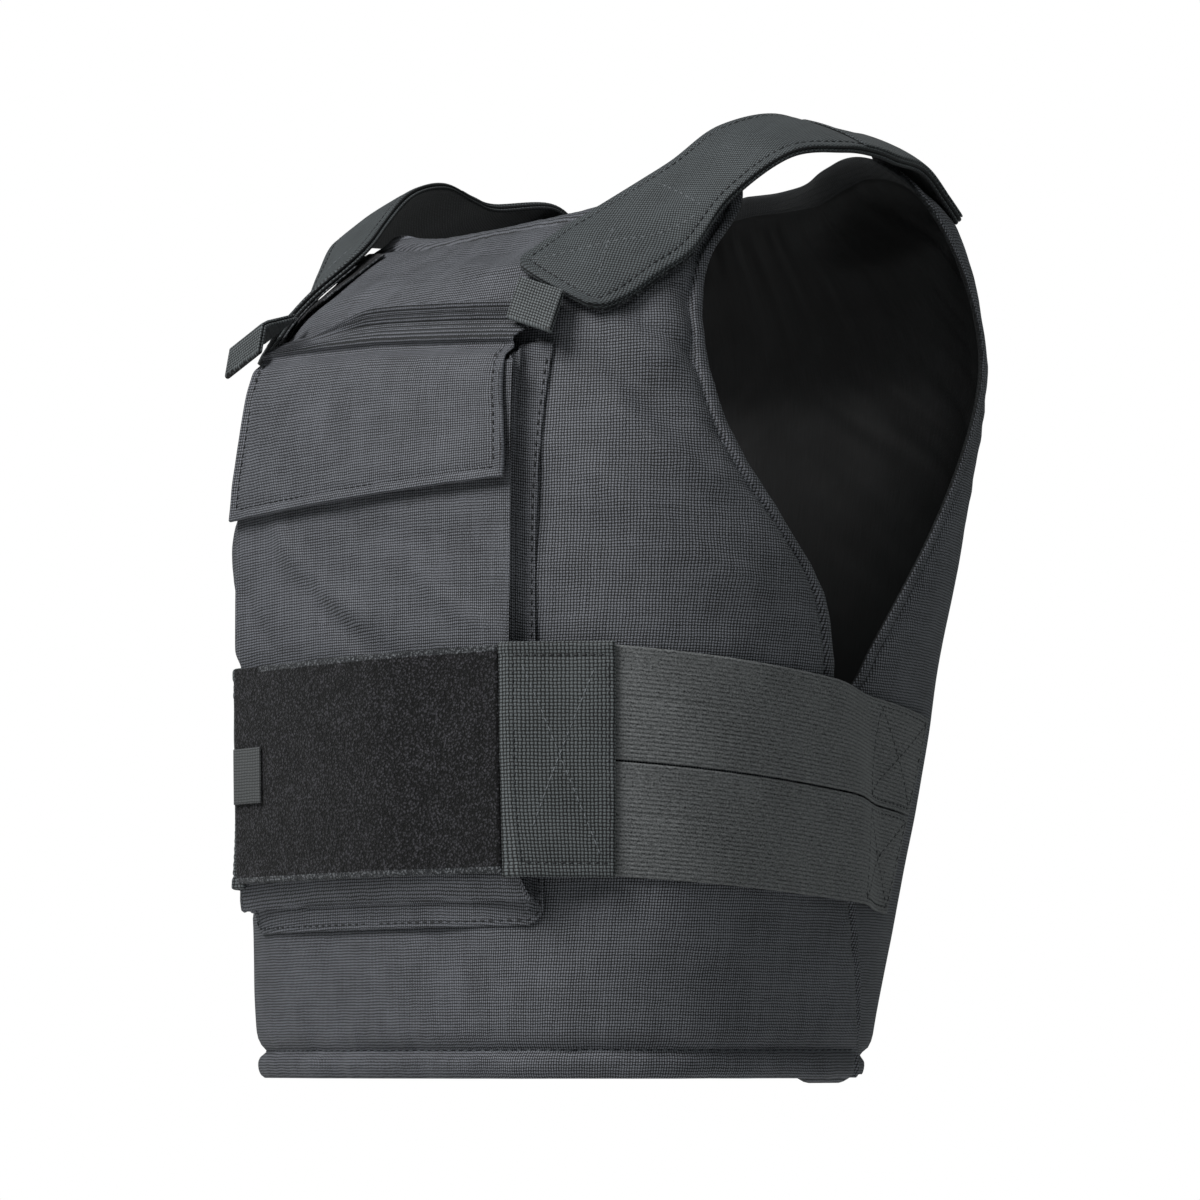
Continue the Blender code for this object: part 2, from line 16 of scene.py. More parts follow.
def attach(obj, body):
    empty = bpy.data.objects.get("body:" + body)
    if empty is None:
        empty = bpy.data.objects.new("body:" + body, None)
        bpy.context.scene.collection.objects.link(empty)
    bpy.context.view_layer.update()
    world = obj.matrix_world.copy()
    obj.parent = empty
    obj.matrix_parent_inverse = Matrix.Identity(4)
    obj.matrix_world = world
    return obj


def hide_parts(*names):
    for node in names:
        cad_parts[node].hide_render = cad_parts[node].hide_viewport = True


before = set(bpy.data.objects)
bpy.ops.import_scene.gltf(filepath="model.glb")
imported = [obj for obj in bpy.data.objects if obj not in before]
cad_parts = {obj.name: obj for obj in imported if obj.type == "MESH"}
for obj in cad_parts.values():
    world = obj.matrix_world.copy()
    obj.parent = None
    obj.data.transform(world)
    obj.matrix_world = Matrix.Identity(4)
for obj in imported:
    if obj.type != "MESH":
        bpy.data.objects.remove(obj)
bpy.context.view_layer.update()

bl_info = {
    "name": "Soft Armour Vest Looks",
    "version": (1, 0, 0),
    "blender": (4, 5, 0),
    "location": "View3D > Sidebar > Vest",
    "description": "Dresses the CAD frame of a concealable soft armour vest in cloth, webbing and stitching",
    "category": "Object",
}

MM = 0.001
BODY = "root"
HEM_Z = -425.0  # height of the hem in the frame, in millimetres

# Torso sections: height, half_width, face_y, centre_y, squareness
FRONT_SECTIONS = np.array([
    (0, 141, -138, -25, 2.7), (70, 147, -139, -18, 2.8), (135, 157, -141, -9, 2.8),
    (200, 165, -142, 0, 2.8), (260, 163, -141, 3, 2.8), (310, 152, -136, 5, 2.8),
    (335, 144, -129, 6, 2.8), (353, 141, -118, 7, 2.7), (376, 147, -86, 8, 2.5),
    (400, 156, -52, 8, 2.4),
], float)
BACK_SECTIONS = np.array([
    (0, 127, 103, -25, 2.6), (70, 133, 116, -18, 2.8), (135, 143, 126, -9, 2.8),
    (200, 152, 134, 0, 2.8), (260, 158, 145, 8, 2.9), (310, 160, 153, 12, 3.2),
    (335, 160, 154, 14, 3.3), (360, 157, 147, 16, 3.4), (385, 154, 134, 18, 3.4),
    (405, 150, 121, 18, 3.2), (438, 144, 98, 16, 3.0),
], float)
# Panel side edges: height, angle from the front centre line in degrees
FRONT_SIDE = np.array([
    (0, 116), (75, 104), (120, 96), (168, 86.9), (189, 84.6), (210, 81.7), (235, 75.0),
    (269, 66.2), (304, 61.6), (337, 61.0), (361, 63.1), (383, 68.5), (404, 71),
], float)
BACK_SIDE = np.array([
    (0, 77), (100, 77), (140, 81), (160, 90), (172, 96.4), (189, 99.6), (215, 105), (243, 111),
    (296, 122), (322, 126), (345, 125), (365, 121), (389, 113), (426, 107),
], float)
# Panel top edges: share of the half width, height
FRONT_TOP = np.array([
    (0, 391), (0.42, 392.5), (0.59, 395), (0.78, 399.5), (0.90, 401), (0.96, 399.5), (1, 394),
], float)
BACK_TOP = np.array([
    (0, 428.5), (0.25, 427), (0.42, 426), (0.56, 428), (0.67, 429.5), (0.75, 427.5),
    (0.86, 419), (0.95, 408), (1, 396),
], float)
HORN_LEAN = (390.0, 435.0, 24.0)  # start height, full height, reach of the back panel's horns
HORN_INNER_X = 12.0
HORN_OUTER_X = 78.0
BACK_HEM_DROP = 2.0  # how far the hem hangs near its left corner
BACK_HEM_LIFT = 1.5  # how far it is drawn up elsewhere
BACK_HEM_CORNER = (0.55, 0.78)  # where it hangs, in shares of the half width
FRONT_RADIUS = 150.0  # mean radius that turns angles into lengths round the front panel
BACK_RADIUS = 155.0

# Depth of a panel's skins below its reference face, by distance from the nearest edge
FRONT_SEAM = np.array([(0, -4.0), (1.2, -3.0), (4.2, -2.5), (5.4, -3.4), (6.3, -4.4), (7.4, -2.9),
                       (10, -1.0), (14, -0.1), (22, 0)], float)
FRONT_HEM = np.array([(0, -4.2), (1.5, -2.4), (5, -1.2), (9.0, -1.6), (11.4, -3.9), (12.4, -4.3),
                      (13.8, -2.4), (17, -0.7), (22, 0), (30, 0)], float)
FRONT_LINING = np.array([(0, -5.2), (1.2, -6.0), (6, -6.0), (20, -10.7)], float)
BACK_SEAM = np.array([(0, -3.9), (1.2, -2.9), (5, -2.7), (6.2, -3.5), (7.4, -2.4), (12, -1.0),
                      (22, 0)], float)
BACK_LINING = np.array([(0, -4.9), (1.2, -5.7), (7.4, -5.7), (8.6, -5.2), (9.8, -6.4), (15, -8.6),
                        (24, -9.8)], float)

SEAM_INSET = 6.5  # where the padding starts behind the edge seam
HEM_INSET = 12.5  # where it starts above the hem
STITCH_INSET = 6.2  # edge stitches of both panels
FRONT_HEM_STITCHES = 12.0
BACK_HEM_STITCHES = 10.0
FRONT_BORDER = 7.5  # twill facing on the lining side
BACK_BORDER = 8.4

# Puckers and gathers beside the seams: heights they lie between, depth, and how far they reach in
ARMHOLE_HEIGHTS = (230.0, 395.0)
ARMHOLE_PUCKER = 4.2
SIDE_PUCKER = 0.9
TOP_PUCKER = 0.45
BACK_PUCKER = 1.6
FRONT_HEM_PUCKER = 1.5
BACK_HEM_PUCKER = 0.4
ARMHOLE_GATHER = 2.6
NECK_GATHER = 1.2
FRONT_PUCKER_REACH = 19.0
BACK_PUCKER_REACH = 12.0
HEM_PUCKER_REACH = 9.0
ARMHOLE_GATHER_REACH = 42.0
NECK_GATHER_REACH = 26.0

# Soft folds pressed into a panel or face: start across, start height, end across, end height,
# half width, lift
FRONT_FOLDS = [
    (112, 262, 182, 208, 6.5, 3.2),
    (108, 240, 170, 190, 7.0, -2.2),
    (120, 292, 166, 250, 5.0, 2.4),
    (112, 318, 152, 276, 5.0, -1.8),
    (108, 342, 150, 304, 5.5, 2.2),
    (100, 362, 134, 330, 4.5, -1.4),
    (20, 364, 88, 356, 5.0, 1.6),
    (0, 374, 70, 370, 4.0, -1.0),
    (150, 76, 200, 54, 9.0, 1.4),
]
POCKET_FOLDS = [
    (-58, 246, 6, 200, 6.0, 2.6),
    (-40, 226, 26, 180, 6.5, -2.2),
    (36, 222, 84, 190, 5.0, 1.4),
    (-86, 226, -58, 192, 4.0, -1.2),
    (-20, 250, 60, 232, 6.0, -1.0),
]

# Plate pocket
POCKET_WALL = 1.2
POCKET_DEPTH = 10.0
POCKET_FACE_CURVE = 7.0
POCKET_HALF = np.array([(75, 95), (120, 90.5), (250, 90.5), (316, 87)], float)
POCKET_BOTTOM = 75.0
POCKET_TOP = 316.0
POCKET_FLANGE_HALF = 94.0
POCKET_FLANGE_TOP = 326.0
POCKET_FLANGE_WIDTH = 5.0
POCKET_FLANGE_BOTTOM = 65.0
FLANGE_CORNER = 9.0
FLANGE_STITCH_INSET = 2.4
# Pleats of the gusset's sides, from the flange's edge to the face's edge: distance from the
# centre line where flat, tuck behind the face's edge where raised, lift off the panel
SIDE_PLEATS = [
    (POCKET_FLANGE_HALF, None, 0.0), (93.2, None, 0.0), (91.5, None, 0.0), (90.2, None, 0.0),
    (POCKET_FLANGE_HALF - POCKET_FLANGE_WIDTH, None, 0.0), (88.6, 3.0, 0.10), (88.1, 5.8, 0.24),
    (87.6, 3.4, 0.36), (87.2, 1.4, 0.46), (86.8, 3.4, 0.56), (86.4, 5.4, 0.68), (86.0, 3.2, 0.80),
    (85.5, 1.2, 0.90), (85.2, 0.4, 0.96), (85.0, 0.0, 1.0),
]
# Pleats of the gusset's bottom, upwards: height where flat, height where raised, lift
BOTTOM_PLEATS = [
    (POCKET_FLANGE_BOTTOM, POCKET_FLANGE_BOTTOM, 0.0), (65.8, 65.8, 0.0), (67.5, 67.5, 0.0),
    (69.0, 69.0, 0.0),
    (POCKET_FLANGE_BOTTOM + POCKET_FLANGE_WIDTH, POCKET_FLANGE_BOTTOM + POCKET_FLANGE_WIDTH, 0.0),
    (71.0, 74.0, 0.22), (71.8, 77.6, 0.44), (72.2, 78.2, 0.56), (73.2, 76.6, 0.82),
    (74.0, POCKET_BOTTOM, 1.0), (76.5, 76.5, 1.0),
]
POCKET_ROLL = 5.5  # how far the face turns under at the pocket bottom
PINCH = 4.6  # how far the closure draws the pocket's right side in
PRESS = 4.5  # how deep the closure lies in the padding on the right side
TILT_START = 200.0  # height above which the pocket's uneven top sets in
TILT_LEFT = -0.09
TILT_RIGHT = -0.05
SEAT_GAP = 1.1
EDGE_ROLL = 0.6  # width of a sheet's rounded edge, in thicknesses

# Flap over the pocket
FLAP_THICKNESS = 2.1
FLAP_HALF_TOP = 83.0
FLAP_HALF_BOTTOM = 90.0
FLAP_TOP = 343.0
FLAP_CREASE = 325.0
FLAP_BOTTOM = 254.0
FLAP_BOTTOM_TILT = 0.02
FLAP_SWING = 1.6
FLAP_CLEARANCE = 1.4
FLAP_VALLEY = 4.5
FLAP_ARCH = 0.6  # how much the hinge band narrows towards the right side
CORD_PITCH = 1.9
FLAP_STITCH_INSET = 5.0

# Side closure
BAND_TOP_FRONT = 184.5
BAND_LOW_FRONT = 86.0
BAND_TOP_SLOPE = -0.30
BAND_LOW_SLOPE = -0.165
BAND_START_ANGLE = 46.5
BAND_START_SLANT = 0.04
BAND_END_ANGLE = 120.5
BAND_THICKNESS = 1.9
BAND_CLEARANCE_FRONT = 0.65
BAND_CLEARANCE_BACK = 0.55
BAND_SEAM_GAP = 0.8
RIB_PITCH = 1.75
PATCH_THICKNESS = 2.2
PATCH_INNER_X = 86.5
PATCH_END_ANGLE = 49.8
PATCH_END_SLANT = 0.04
PATCH_BOTTOM = 85.0
PATCH_TOP = 185.0
CLOSURE_THICKNESS = 2.2
CLOSURE_LEFT_END = -82.5
CLOSURE_RIGHT_END = 18.0
TAB_CENTRE = 135.0
TAB_HALF_HEIGHT = 12.5
TAB_LENGTH = 21.4
TAB_THICKNESS = 1.4
PATCH_SEAM_SHARE = 0.235  # sewn line along the patch's pocket side
PATCH_SEAM_INSET = 6.0
BAND_WIDTH = 49.0
BAND_SEAM_RISE = 27.0  # stitched groove up each band
BAND_KINK_ANGLE = 93.0  # where a band bends over the front panel's edge

# Shoulder straps
STRAP_BELLY = 1.6
STRAP_GATHER = 0.5  # share of its width by which the right strap is drawn outwards on the chest
STRAP_WIDTH = 53.0
STATION_LENGTH = 17.0
TOP_PLY_INSET = 0.018
UNDERPLY_THICKNESS = 1.8
TOP_PLY_SEAT = 2.0
TOP_PLY_THICKNESS = 1.9
REAR_PLY_SEAT = 3.9
REAR_PLY_THICKNESS = 1.1
HOOK_TAPE_SEAT = -1.0
HOOK_TAPE_THICKNESS = 0.9
# Pull tabs: node, direction at the strap, direction past the elbow, elbow, start, end
PULL_TABS = [
    ("pull_tab_left", (0.10, -0.46, -0.88), (0.10, -0.46, -0.88), 14.0, 1.6, 24.0),
    ("pull_tab_right", (0.10, -0.95, -0.30), (0.0, -0.20, -0.98), 20.5, 2.1, 34.0),
]
PULL_TAB_WIDTH = 25.0
PULL_TAB_THICKNESS = 1.25
PULL_TAB_FOLD = 1.5  # radius of the fold at a tab's end
PULL_TAB_RIB = 2.2
# Corners of the loop field under the left strap: inner and outer height, inner and outer angle
LOOP_FIELD_LOW = ((359.0, 337.0), (36.0, 48.0))
LOOP_FIELD_HIGH = ((384.0, 394.0), (44.0, 66.5))
LOOP_FIELD_GAP = 0.7

# Stitches
THREAD_WIDTH = 0.85
THREAD_HEIGHT = 0.5
CROSS_WIDTH = 0.6
CROSS_LENGTH = 3.3
CROSS_PITCH = 4.0

# Studio: the camera and lights look at one point, from an azimuth and elevation in degrees
AIM = Vector((0.0, 0.0, -0.204))
CAMERA_AZIMUTH = 45.0
CAMERA_ELEVATION = -6.2
CAMERA_DISTANCE = 2.0
CAMERA_LENS = 129.0
SENSOR_WIDTH = 36.0
FLOOR_RADIUS = 4.0
# Softboxes: name, its power setting, azimuth, elevation, distance and size in metres
SOFTBOXES = [
    ("key_softbox", "key_power", -6.0, 42.0, 2.6, 1.2),
    ("fill_softbox", "fill_power", 48.0, 46.0, 3.0, 1.4),
    ("rim_softbox", "rim_power", 150.0, 45.0, 3.0, 1.6),
]


# Shape functions: every argument may be one number or an array

def smoothstep(value):
    """Ease from 0 to 1."""
    value = np.clip(value, 0.0, 1.0)
    return value * value * (3.0 - 2.0 * value)


def window(value, start, end, fade_in, fade_out):
    """Weight that eases in after a start and eases out again before an end."""
    return smoothstep((value - start) / fade_in) * smoothstep((end - value) / fade_out)


def mix(first, second, amount):
    """Linear mix of two numbers or arrays."""
    return first + (second - first) * amount


def curve(rows, key, column=1):
    """Smooth interpolation down one column of a table, keyed by its first column."""
    knots = rows[:, 0]
    values = rows[:, column]
    last = len(knots) - 1
    here = np.arange(len(knots))
    low = np.maximum(here - 1, 0)
    high = np.minimum(here + 1, last)
    slopes = (values[high] - values[low]) / (knots[high] - knots[low])
    key = np.clip(key, knots[0], knots[-1])
    index = np.clip(np.searchsorted(knots, key) - 1, 0, last - 1)
    span = knots[index + 1] - knots[index]
    t = (key - knots[index]) / span
    ease = t * t * (3.0 - 2.0 * t)
    bend = t * (1.0 - t) * span
    rise = (1.0 - t) * slopes[index] - t * slopes[index + 1]
    return values[index] + (values[index + 1] - values[index]) * ease + bend * rise


def noise(across, along, seed):
    """Smooth random field from -1 to 1 with one bump per unit of each coordinate."""
    lattice = np.random.default_rng(seed).uniform(-1.0, 1.0, (61, 61))
    across, along = np.broadcast_arrays(np.asarray(across, float), np.asarray(along, float))
    column = np.floor(across).astype(int)
    row = np.floor(along).astype(int)
    ease_x = smoothstep(across - column)
    ease_y = smoothstep(along - row)
    low = mix(lattice[column % 61, row % 61], lattice[(column + 1) % 61, row % 61], ease_x)
    high = mix(lattice[column % 61, (row + 1) % 61], lattice[(column + 1) % 61, (row + 1) % 61], ease_x)
    return mix(low, high, ease_y)


def folds(across, height, rows):
    """Relief of a table of straight soft folds, each fading out at both ends."""
    relief = np.zeros(np.broadcast(across, height).shape)
    for start_x, start_z, end_x, end_z, width, lift in rows:
        run = np.array((end_x - start_x, end_z - start_z), float)
        length = np.hypot(*run)
        run /= length
        along = (across - start_x) * run[0] + (height - start_z) * run[1]
        aside = (height - start_z) * run[0] - (across - start_x) * run[1]
        aside = aside + 0.06 * length * np.sin(np.pi * along / length)
        fade = smoothstep(along / (0.3 * length) + 0.4) * smoothstep((length - along) / (0.3 * length) + 0.4)
        relief = relief + lift * fade * np.exp(-(aside / width) ** 2)
    return relief


def unit(vectors):
    """Vectors scaled to length one."""
    return vectors / np.maximum(np.linalg.norm(vectors, axis=-1, keepdims=True), 1e-12)


def section_points(rows, angle, height):
    """Points of the torso sections in the direction of an angle from the front centre line."""
    angle, height = np.broadcast_arrays(np.asarray(angle, float), np.asarray(height, float))
    half, face, centre, power = (curve(rows, height, column) for column in (1, 2, 3, 4))
    east = np.sin(np.radians(angle))
    south = np.cos(np.radians(angle))
    radius = (np.abs(east / half) ** power + np.abs(south / (face - centre)) ** power) ** (-1.0 / power)
    x = radius * east
    y = centre - radius * south
    if rows is BACK_SECTIONS:
        start, full, reach = HORN_LEAN
        rise = smoothstep((height - start) / (full - start))
        y = y - reach * rise * smoothstep((np.abs(x) - HORN_INNER_X) / (HORN_OUTER_X - HORN_INNER_X))
    return np.stack([x, y, height], axis=-1)


def torso_points(rows, angle, height, out=0.0):
    """Torso points moved outwards along the surface's own normal."""
    around = section_points(rows, angle + 0.5, height) - section_points(rows, angle - 0.5, height)
    upward = section_points(rows, angle, height + 1.0) - section_points(rows, angle, height - 1.0)
    return section_points(rows, angle, height) + unit(np.cross(around, upward)) * np.asarray(out)[..., None]


def face_y(across, height):
    """Depth of the front panel's outer face at a distance from the centre line."""
    half, face, centre, power = (curve(FRONT_SECTIONS, height, column) for column in (1, 2, 3, 4))
    reach = np.maximum(0.0, 1.0 - (np.abs(across) / half) ** power)
    return centre - (centre - face) * reach ** (1.0 / power)


def pocket_y(across, height):
    """Depth of the pocket's front face, flatter than the panel behind it."""
    bow = POCKET_FACE_CURVE * (across / 90.5) ** 2
    return curve(FRONT_SECTIONS, height, 2) - POCKET_DEPTH + bow


# Panels

def front_gaps(angle, height):
    """Distance of a front panel point from the side or top edge, and from the hem."""
    edge = curve(FRONT_SIDE, height)
    share = np.abs(angle) / edge
    side = np.radians(edge) * FRONT_RADIUS * (1.0 - share)
    top = curve(FRONT_TOP, share) - height
    return np.minimum(side, top), height + 0.0 * share, side < top


def beside_seam(gap, seam, reach, start=1.0):
    """Weight of the puckers beside a seam: full next to it and fading out over their reach."""
    return np.exp(-np.maximum(gap - seam, 0.0) / reach) * smoothstep((gap - seam + start) / 3.0)


def front_outer(angle, height, out=0.0):
    """Outer cloth of the front panel: padded inside its seam, puckered along it."""
    gap, hem, sideways = front_gaps(angle, height)
    arc = np.radians(angle) * FRONT_RADIUS
    depth = np.minimum(curve(FRONT_SEAM, gap), curve(FRONT_HEM, hem))
    along = np.where(sideways, height, arc)
    armhole = window(height, *ARMHOLE_HEIGHTS, 60.0, 20.0)
    strength = np.where(sideways, mix(SIDE_PUCKER, ARMHOLE_PUCKER, armhole), TOP_PUCKER)
    strength = strength * beside_seam(gap, SEAM_INSET, FRONT_PUCKER_REACH)
    slant = along - 0.6 * gap
    pucker = strength * (noise(slant / 8.5, gap / 26.0, 11) - 0.35)
    pucker = pucker + 0.4 * strength * noise(slant / 3.4, gap / 14.0, 17)
    hem_near = beside_seam(hem, HEM_INSET, HEM_PUCKER_REACH, 1.5)
    pucker = pucker + FRONT_HEM_PUCKER * hem_near * (noise(arc / 7.0, hem / 25.0, 12) - 0.3)
    flange = smoothstep((6.0 - gap) / 2.0) * np.where(sideways, 0.6, 0.2) * noise(along / 6.0, gap / 5.0, 13)
    hem_wave = 1.2 * noise(arc / 19.0, hem / 14.0, 14) + 0.5 * noise(arc / 6.0, hem / 9.0, 18)
    flange = flange + smoothstep((12.0 - hem) / 3.0) * hem_wave
    inside = smoothstep((np.minimum(gap, hem) - 8.0) / 12.0)
    sag = inside * (1.1 * noise(arc / 42.0, height / 36.0, 15) + 0.35 * noise(arc / 15.0, height / 18.0, 16))
    creased = inside * folds(np.abs(arc), height, FRONT_FOLDS)
    return torso_points(FRONT_SECTIONS, angle, height, depth + pucker + flange + sag + creased + out)


def front_inner(angle, height, out=0.0):
    """Lining of the front panel."""
    gap, hem, sideways = front_gaps(angle, height)
    nearest = np.minimum(gap, hem)
    along = np.where(sideways, height, np.radians(angle) * FRONT_RADIUS)
    gather = 0.7 * np.exp(-nearest / 22.0) * smoothstep((nearest - 7.0) / 4.0)
    depth = curve(FRONT_LINING, nearest) + gather * (noise(along / 7.0, nearest / 40.0, 21) + 0.4)
    return torso_points(FRONT_SECTIONS, angle, height, depth + out)


def back_gaps(angle, height):
    """Distances of a back panel point from its side edge, its top edge and its hem."""
    edge = 180.0 - curve(BACK_SIDE, height)
    share = np.abs(180.0 - angle) / edge
    side = np.radians(edge) * BACK_RADIUS * (1.0 - share)
    top = curve(BACK_TOP, share) - height
    return side, top, height + BACK_HEM_DROP + 0.0 * share


def back_outer(angle, height, out=0.0):
    """Outer cloth of the back panel."""
    side, top, hem = back_gaps(angle, height)
    gap = np.minimum(side, top)
    arc = np.radians(180.0 - angle) * BACK_RADIUS
    along = np.where(side < top, height, arc)
    depth = np.minimum(curve(BACK_SEAM, gap), curve(FRONT_HEM, hem))
    near = beside_seam(gap, SEAM_INSET, BACK_PUCKER_REACH)
    pucker = BACK_PUCKER * near * (noise((along - 0.5 * gap) / 7.5, gap / 30.0, 31) - 0.35)
    hem_near = beside_seam(hem, HEM_INSET, HEM_PUCKER_REACH, 1.5)
    pucker = pucker + BACK_HEM_PUCKER * hem_near * (noise(arc / 9.0, hem / 25.0, 32) - 0.3)
    inside = smoothstep((np.minimum(gap, hem) - 12.0) / 20.0)
    sag = inside * (0.6 * noise(arc / 45.0, height / 38.0, 33) + 0.2 * noise(arc / 16.0, height / 20.0, 34))
    return torso_points(BACK_SECTIONS, angle, height, depth + pucker + sag + out)


def back_inner(angle, height, out=0.0):
    """Lining of the back panel, gathered along the armholes and under the neckline facing."""
    side, top, hem = back_gaps(angle, height)
    nearest = np.minimum(np.minimum(side, top), hem)
    armhole = smoothstep((height - 150.0) / 60.0)
    reach = np.exp(-side / ARMHOLE_GATHER_REACH) * smoothstep((side - 9.0) / 6.0) * armhole
    slant = height - 0.75 * side
    gather = ARMHOLE_GATHER * reach * (noise(slant / 10.0, side / 60.0, 41) + 0.3)
    gather = gather + 0.5 * ARMHOLE_GATHER * reach * noise(slant / 5.0, side / 40.0, 42)
    arc = np.radians(180.0 - angle) * BACK_RADIUS
    neck = np.exp(-top / NECK_GATHER_REACH) * smoothstep((top - 8.0) / 5.0) * (1.0 - 0.6 * reach)
    gather = gather + NECK_GATHER * neck * (noise(arc / 6.5, top / 60.0, 43) + 0.2)
    inside = smoothstep((nearest - 12.0) / 20.0)
    sag = inside * 0.5 * noise(arc / 30.0, height / 34.0, 44)
    depth = curve(BACK_LINING, nearest) + gather + sag
    return torso_points(BACK_SECTIONS, angle, height, depth + out)


# Pocket and flap

def pocket_half(height):
    """Half width of the pocket's front face."""
    return curve(POCKET_HALF, height)


def top_tilt(across):
    """Uneven height of the pocket top and flap hinge."""
    return across * np.where(across > 0.0, TILT_LEFT, TILT_RIGHT)


def pocket_face(across, height, out=0.0):
    """Front face of the pocket with its soft folds."""
    edge = smoothstep((pocket_half(height) - np.abs(across)) / 10.0)
    free = window(height, PATCH_TOP + 3.0, FLAP_BOTTOM + 8.0, 10.0, 12.0)
    relief = edge * (folds(across, height, POCKET_FOLDS) + 0.6 * noise(across / 34.0, height / 30.0, 51))
    roll_top = PATCH_BOTTOM + 3.0
    under = POCKET_ROLL * smoothstep((roll_top - height) / (roll_top - POCKET_BOTTOM)) ** 1.5
    y = pocket_y(across, height) + under - np.clip(relief, -1.4 - 1.6 * free, 0.3 + 2.6 * free) - out
    return np.stack(np.broadcast_arrays(across, y, height), axis=-1)


def pinched(across, height):
    """Draw the pocket's right side in where the closure wraps it."""
    wrapped = window(height, PATCH_BOTTOM - 8.0, PATCH_TOP + 8.0, 8.0, 8.0)
    return across + PINCH * wrapped * smoothstep((-across - 60.0) / 25.0)


def panel_face(across, height, out=0.0):
    """Outer face of the front panel at a distance from the centre line."""
    run = face_y(across + 1.0, height) - face_y(across - 1.0, height)
    rise = face_y(across, height + 1.0) - face_y(across, height - 1.0)
    normal = unit(np.stack(np.broadcast_arrays(0.5 * run, -1.0, 0.5 * rise), axis=-1))
    base = np.stack(np.broadcast_arrays(across, face_y(across, height), height), axis=-1)
    return base + normal * np.asarray(out)[..., None]


def flange_face(across, height, out=0.0):
    """Face of the pocket's sewn flange."""
    tilt = top_tilt(across) * smoothstep((height - TILT_START) / (POCKET_TOP - TILT_START))
    return panel_face(across, height + tilt, SEAT_GAP + POCKET_WALL + out)


def flap_face(share, height, out=0.0):
    """Pocket flap: sewn flat at the top, creased, then hanging over the pocket face."""
    drop = (FLAP_CREASE - height) / (FLAP_CREASE - FLAP_BOTTOM)
    across = share * mix(FLAP_HALF_TOP, FLAP_HALF_BOTTOM, smoothstep(drop))
    height = height - FLAP_ARCH * np.maximum(0.0, height - FLAP_CREASE) * smoothstep((-14.0 - across) / 50.0)
    tilt = mix(top_tilt(across), FLAP_BOTTOM_TILT * across, smoothstep(drop))
    sewn = panel_face(across, height + tilt, SEAT_GAP + 0.3 + out)
    swing = FLAP_SWING * np.maximum(0.0, drop)
    valley = FLAP_VALLEY * np.exp(-((height - FLAP_CREASE + 3.0) / 3.2) ** 2)
    y = pocket_y(across, height) - FLAP_CLEARANCE - swing - out + valley
    hanging = np.stack(np.broadcast_arrays(across, y, height + tilt), axis=-1)
    blend = smoothstep((height - FLAP_CREASE + 2.0) / (FLAP_TOP - 2.0 - FLAP_CREASE - 5.0))
    return mix(hanging, sewn, blend[..., None] if np.ndim(blend) else blend)


# Side closure

def band_edge(angle, share):
    """Height of a line along the side bands, share 0 at the lower edge and 1 at the upper."""
    low = BAND_LOW_FRONT + BAND_LOW_SLOPE * (angle - BAND_START_ANGLE)
    top = BAND_TOP_FRONT + BAND_TOP_SLOPE * (angle - BAND_START_ANGLE)
    return mix(low, top, share)


def band_face(angle, share, out=0.0):
    """Side band: over the front panel, then stepping down onto the back panel."""
    height = band_edge(angle, share)
    slant = BAND_START_SLANT * (TAB_CENTRE - height)
    angle = angle + slant * (BAND_END_ANGLE - angle) / (BAND_END_ANGLE - BAND_START_ANGLE)
    leave = smoothstep((angle - curve(FRONT_SIDE, height) + 3.0) / 17.0)
    on_front = torso_points(FRONT_SECTIONS, angle, height, BAND_CLEARANCE_FRONT + out)
    on_back = torso_points(BACK_SECTIONS, angle, height, BAND_CLEARANCE_BACK + out)
    return mix(on_front, on_back, np.asarray(leave)[..., None])


def patch_face(share, height, out=0.0):
    """Webbing patch: from the pocket's front edge straight across to the elastic."""
    share, height, out = np.broadcast_arrays(np.asarray(share, float), height, out)
    corner_x = pocket_half(height) + 0.9
    start = np.stack([0.0 * height + PATCH_INNER_X, pocket_y(PATCH_INNER_X, height) - 0.6, height], axis=-1)
    corner = np.stack([corner_x, pocket_y(corner_x, height) - 0.5, height], axis=-1)
    end_angle = PATCH_END_ANGLE + PATCH_END_SLANT * (TAB_CENTRE - height)
    end = torso_points(FRONT_SECTIONS, end_angle, height, BAND_CLEARANCE_FRONT + BAND_THICKNESS + 0.55)
    slant_out = unit(np.cross(end - corner, (0.0, 0.0, 1.0)))
    first = np.clip(share / 0.2, 0.0, 1.0)[..., None]
    rest = np.clip((share - 0.2) / 0.8, 0.0, 1.0)[..., None]
    base = mix(mix(start, corner, first), end, rest)
    turn = np.where(share <= 0.2, share / 0.4, 0.5 + 0.5 * np.clip((share - 0.2) / 0.2, 0.0, 1.0))
    direction = unit(mix(np.array((0.0, -1.0, 0.0)), slant_out, turn[..., None]))
    bend = np.arccos(np.clip(-slant_out[..., 1], -1.0, 1.0))
    stretch = 1.0 / np.cos(0.5 * bend * (1.0 - np.abs(2.0 * turn - 1.0)))
    return base + direction * (out * stretch)[..., None]


def closure_face(across, height, out=0.0, under=False):
    """Closure flap on the pocket face; the left one rides over the right one."""
    lift = 0.0 if under else (CLOSURE_THICKNESS + 1.0) * smoothstep((62.0 - across) / 48.0)
    y = pocket_y(across, height) - 0.6 - lift - out
    return np.stack(np.broadcast_arrays(across, y, height), axis=-1)


def under_face(across, height, out=0.0):
    """Right closure flap, under the left one."""
    return closure_face(across, height, out, under=True)


# Straps

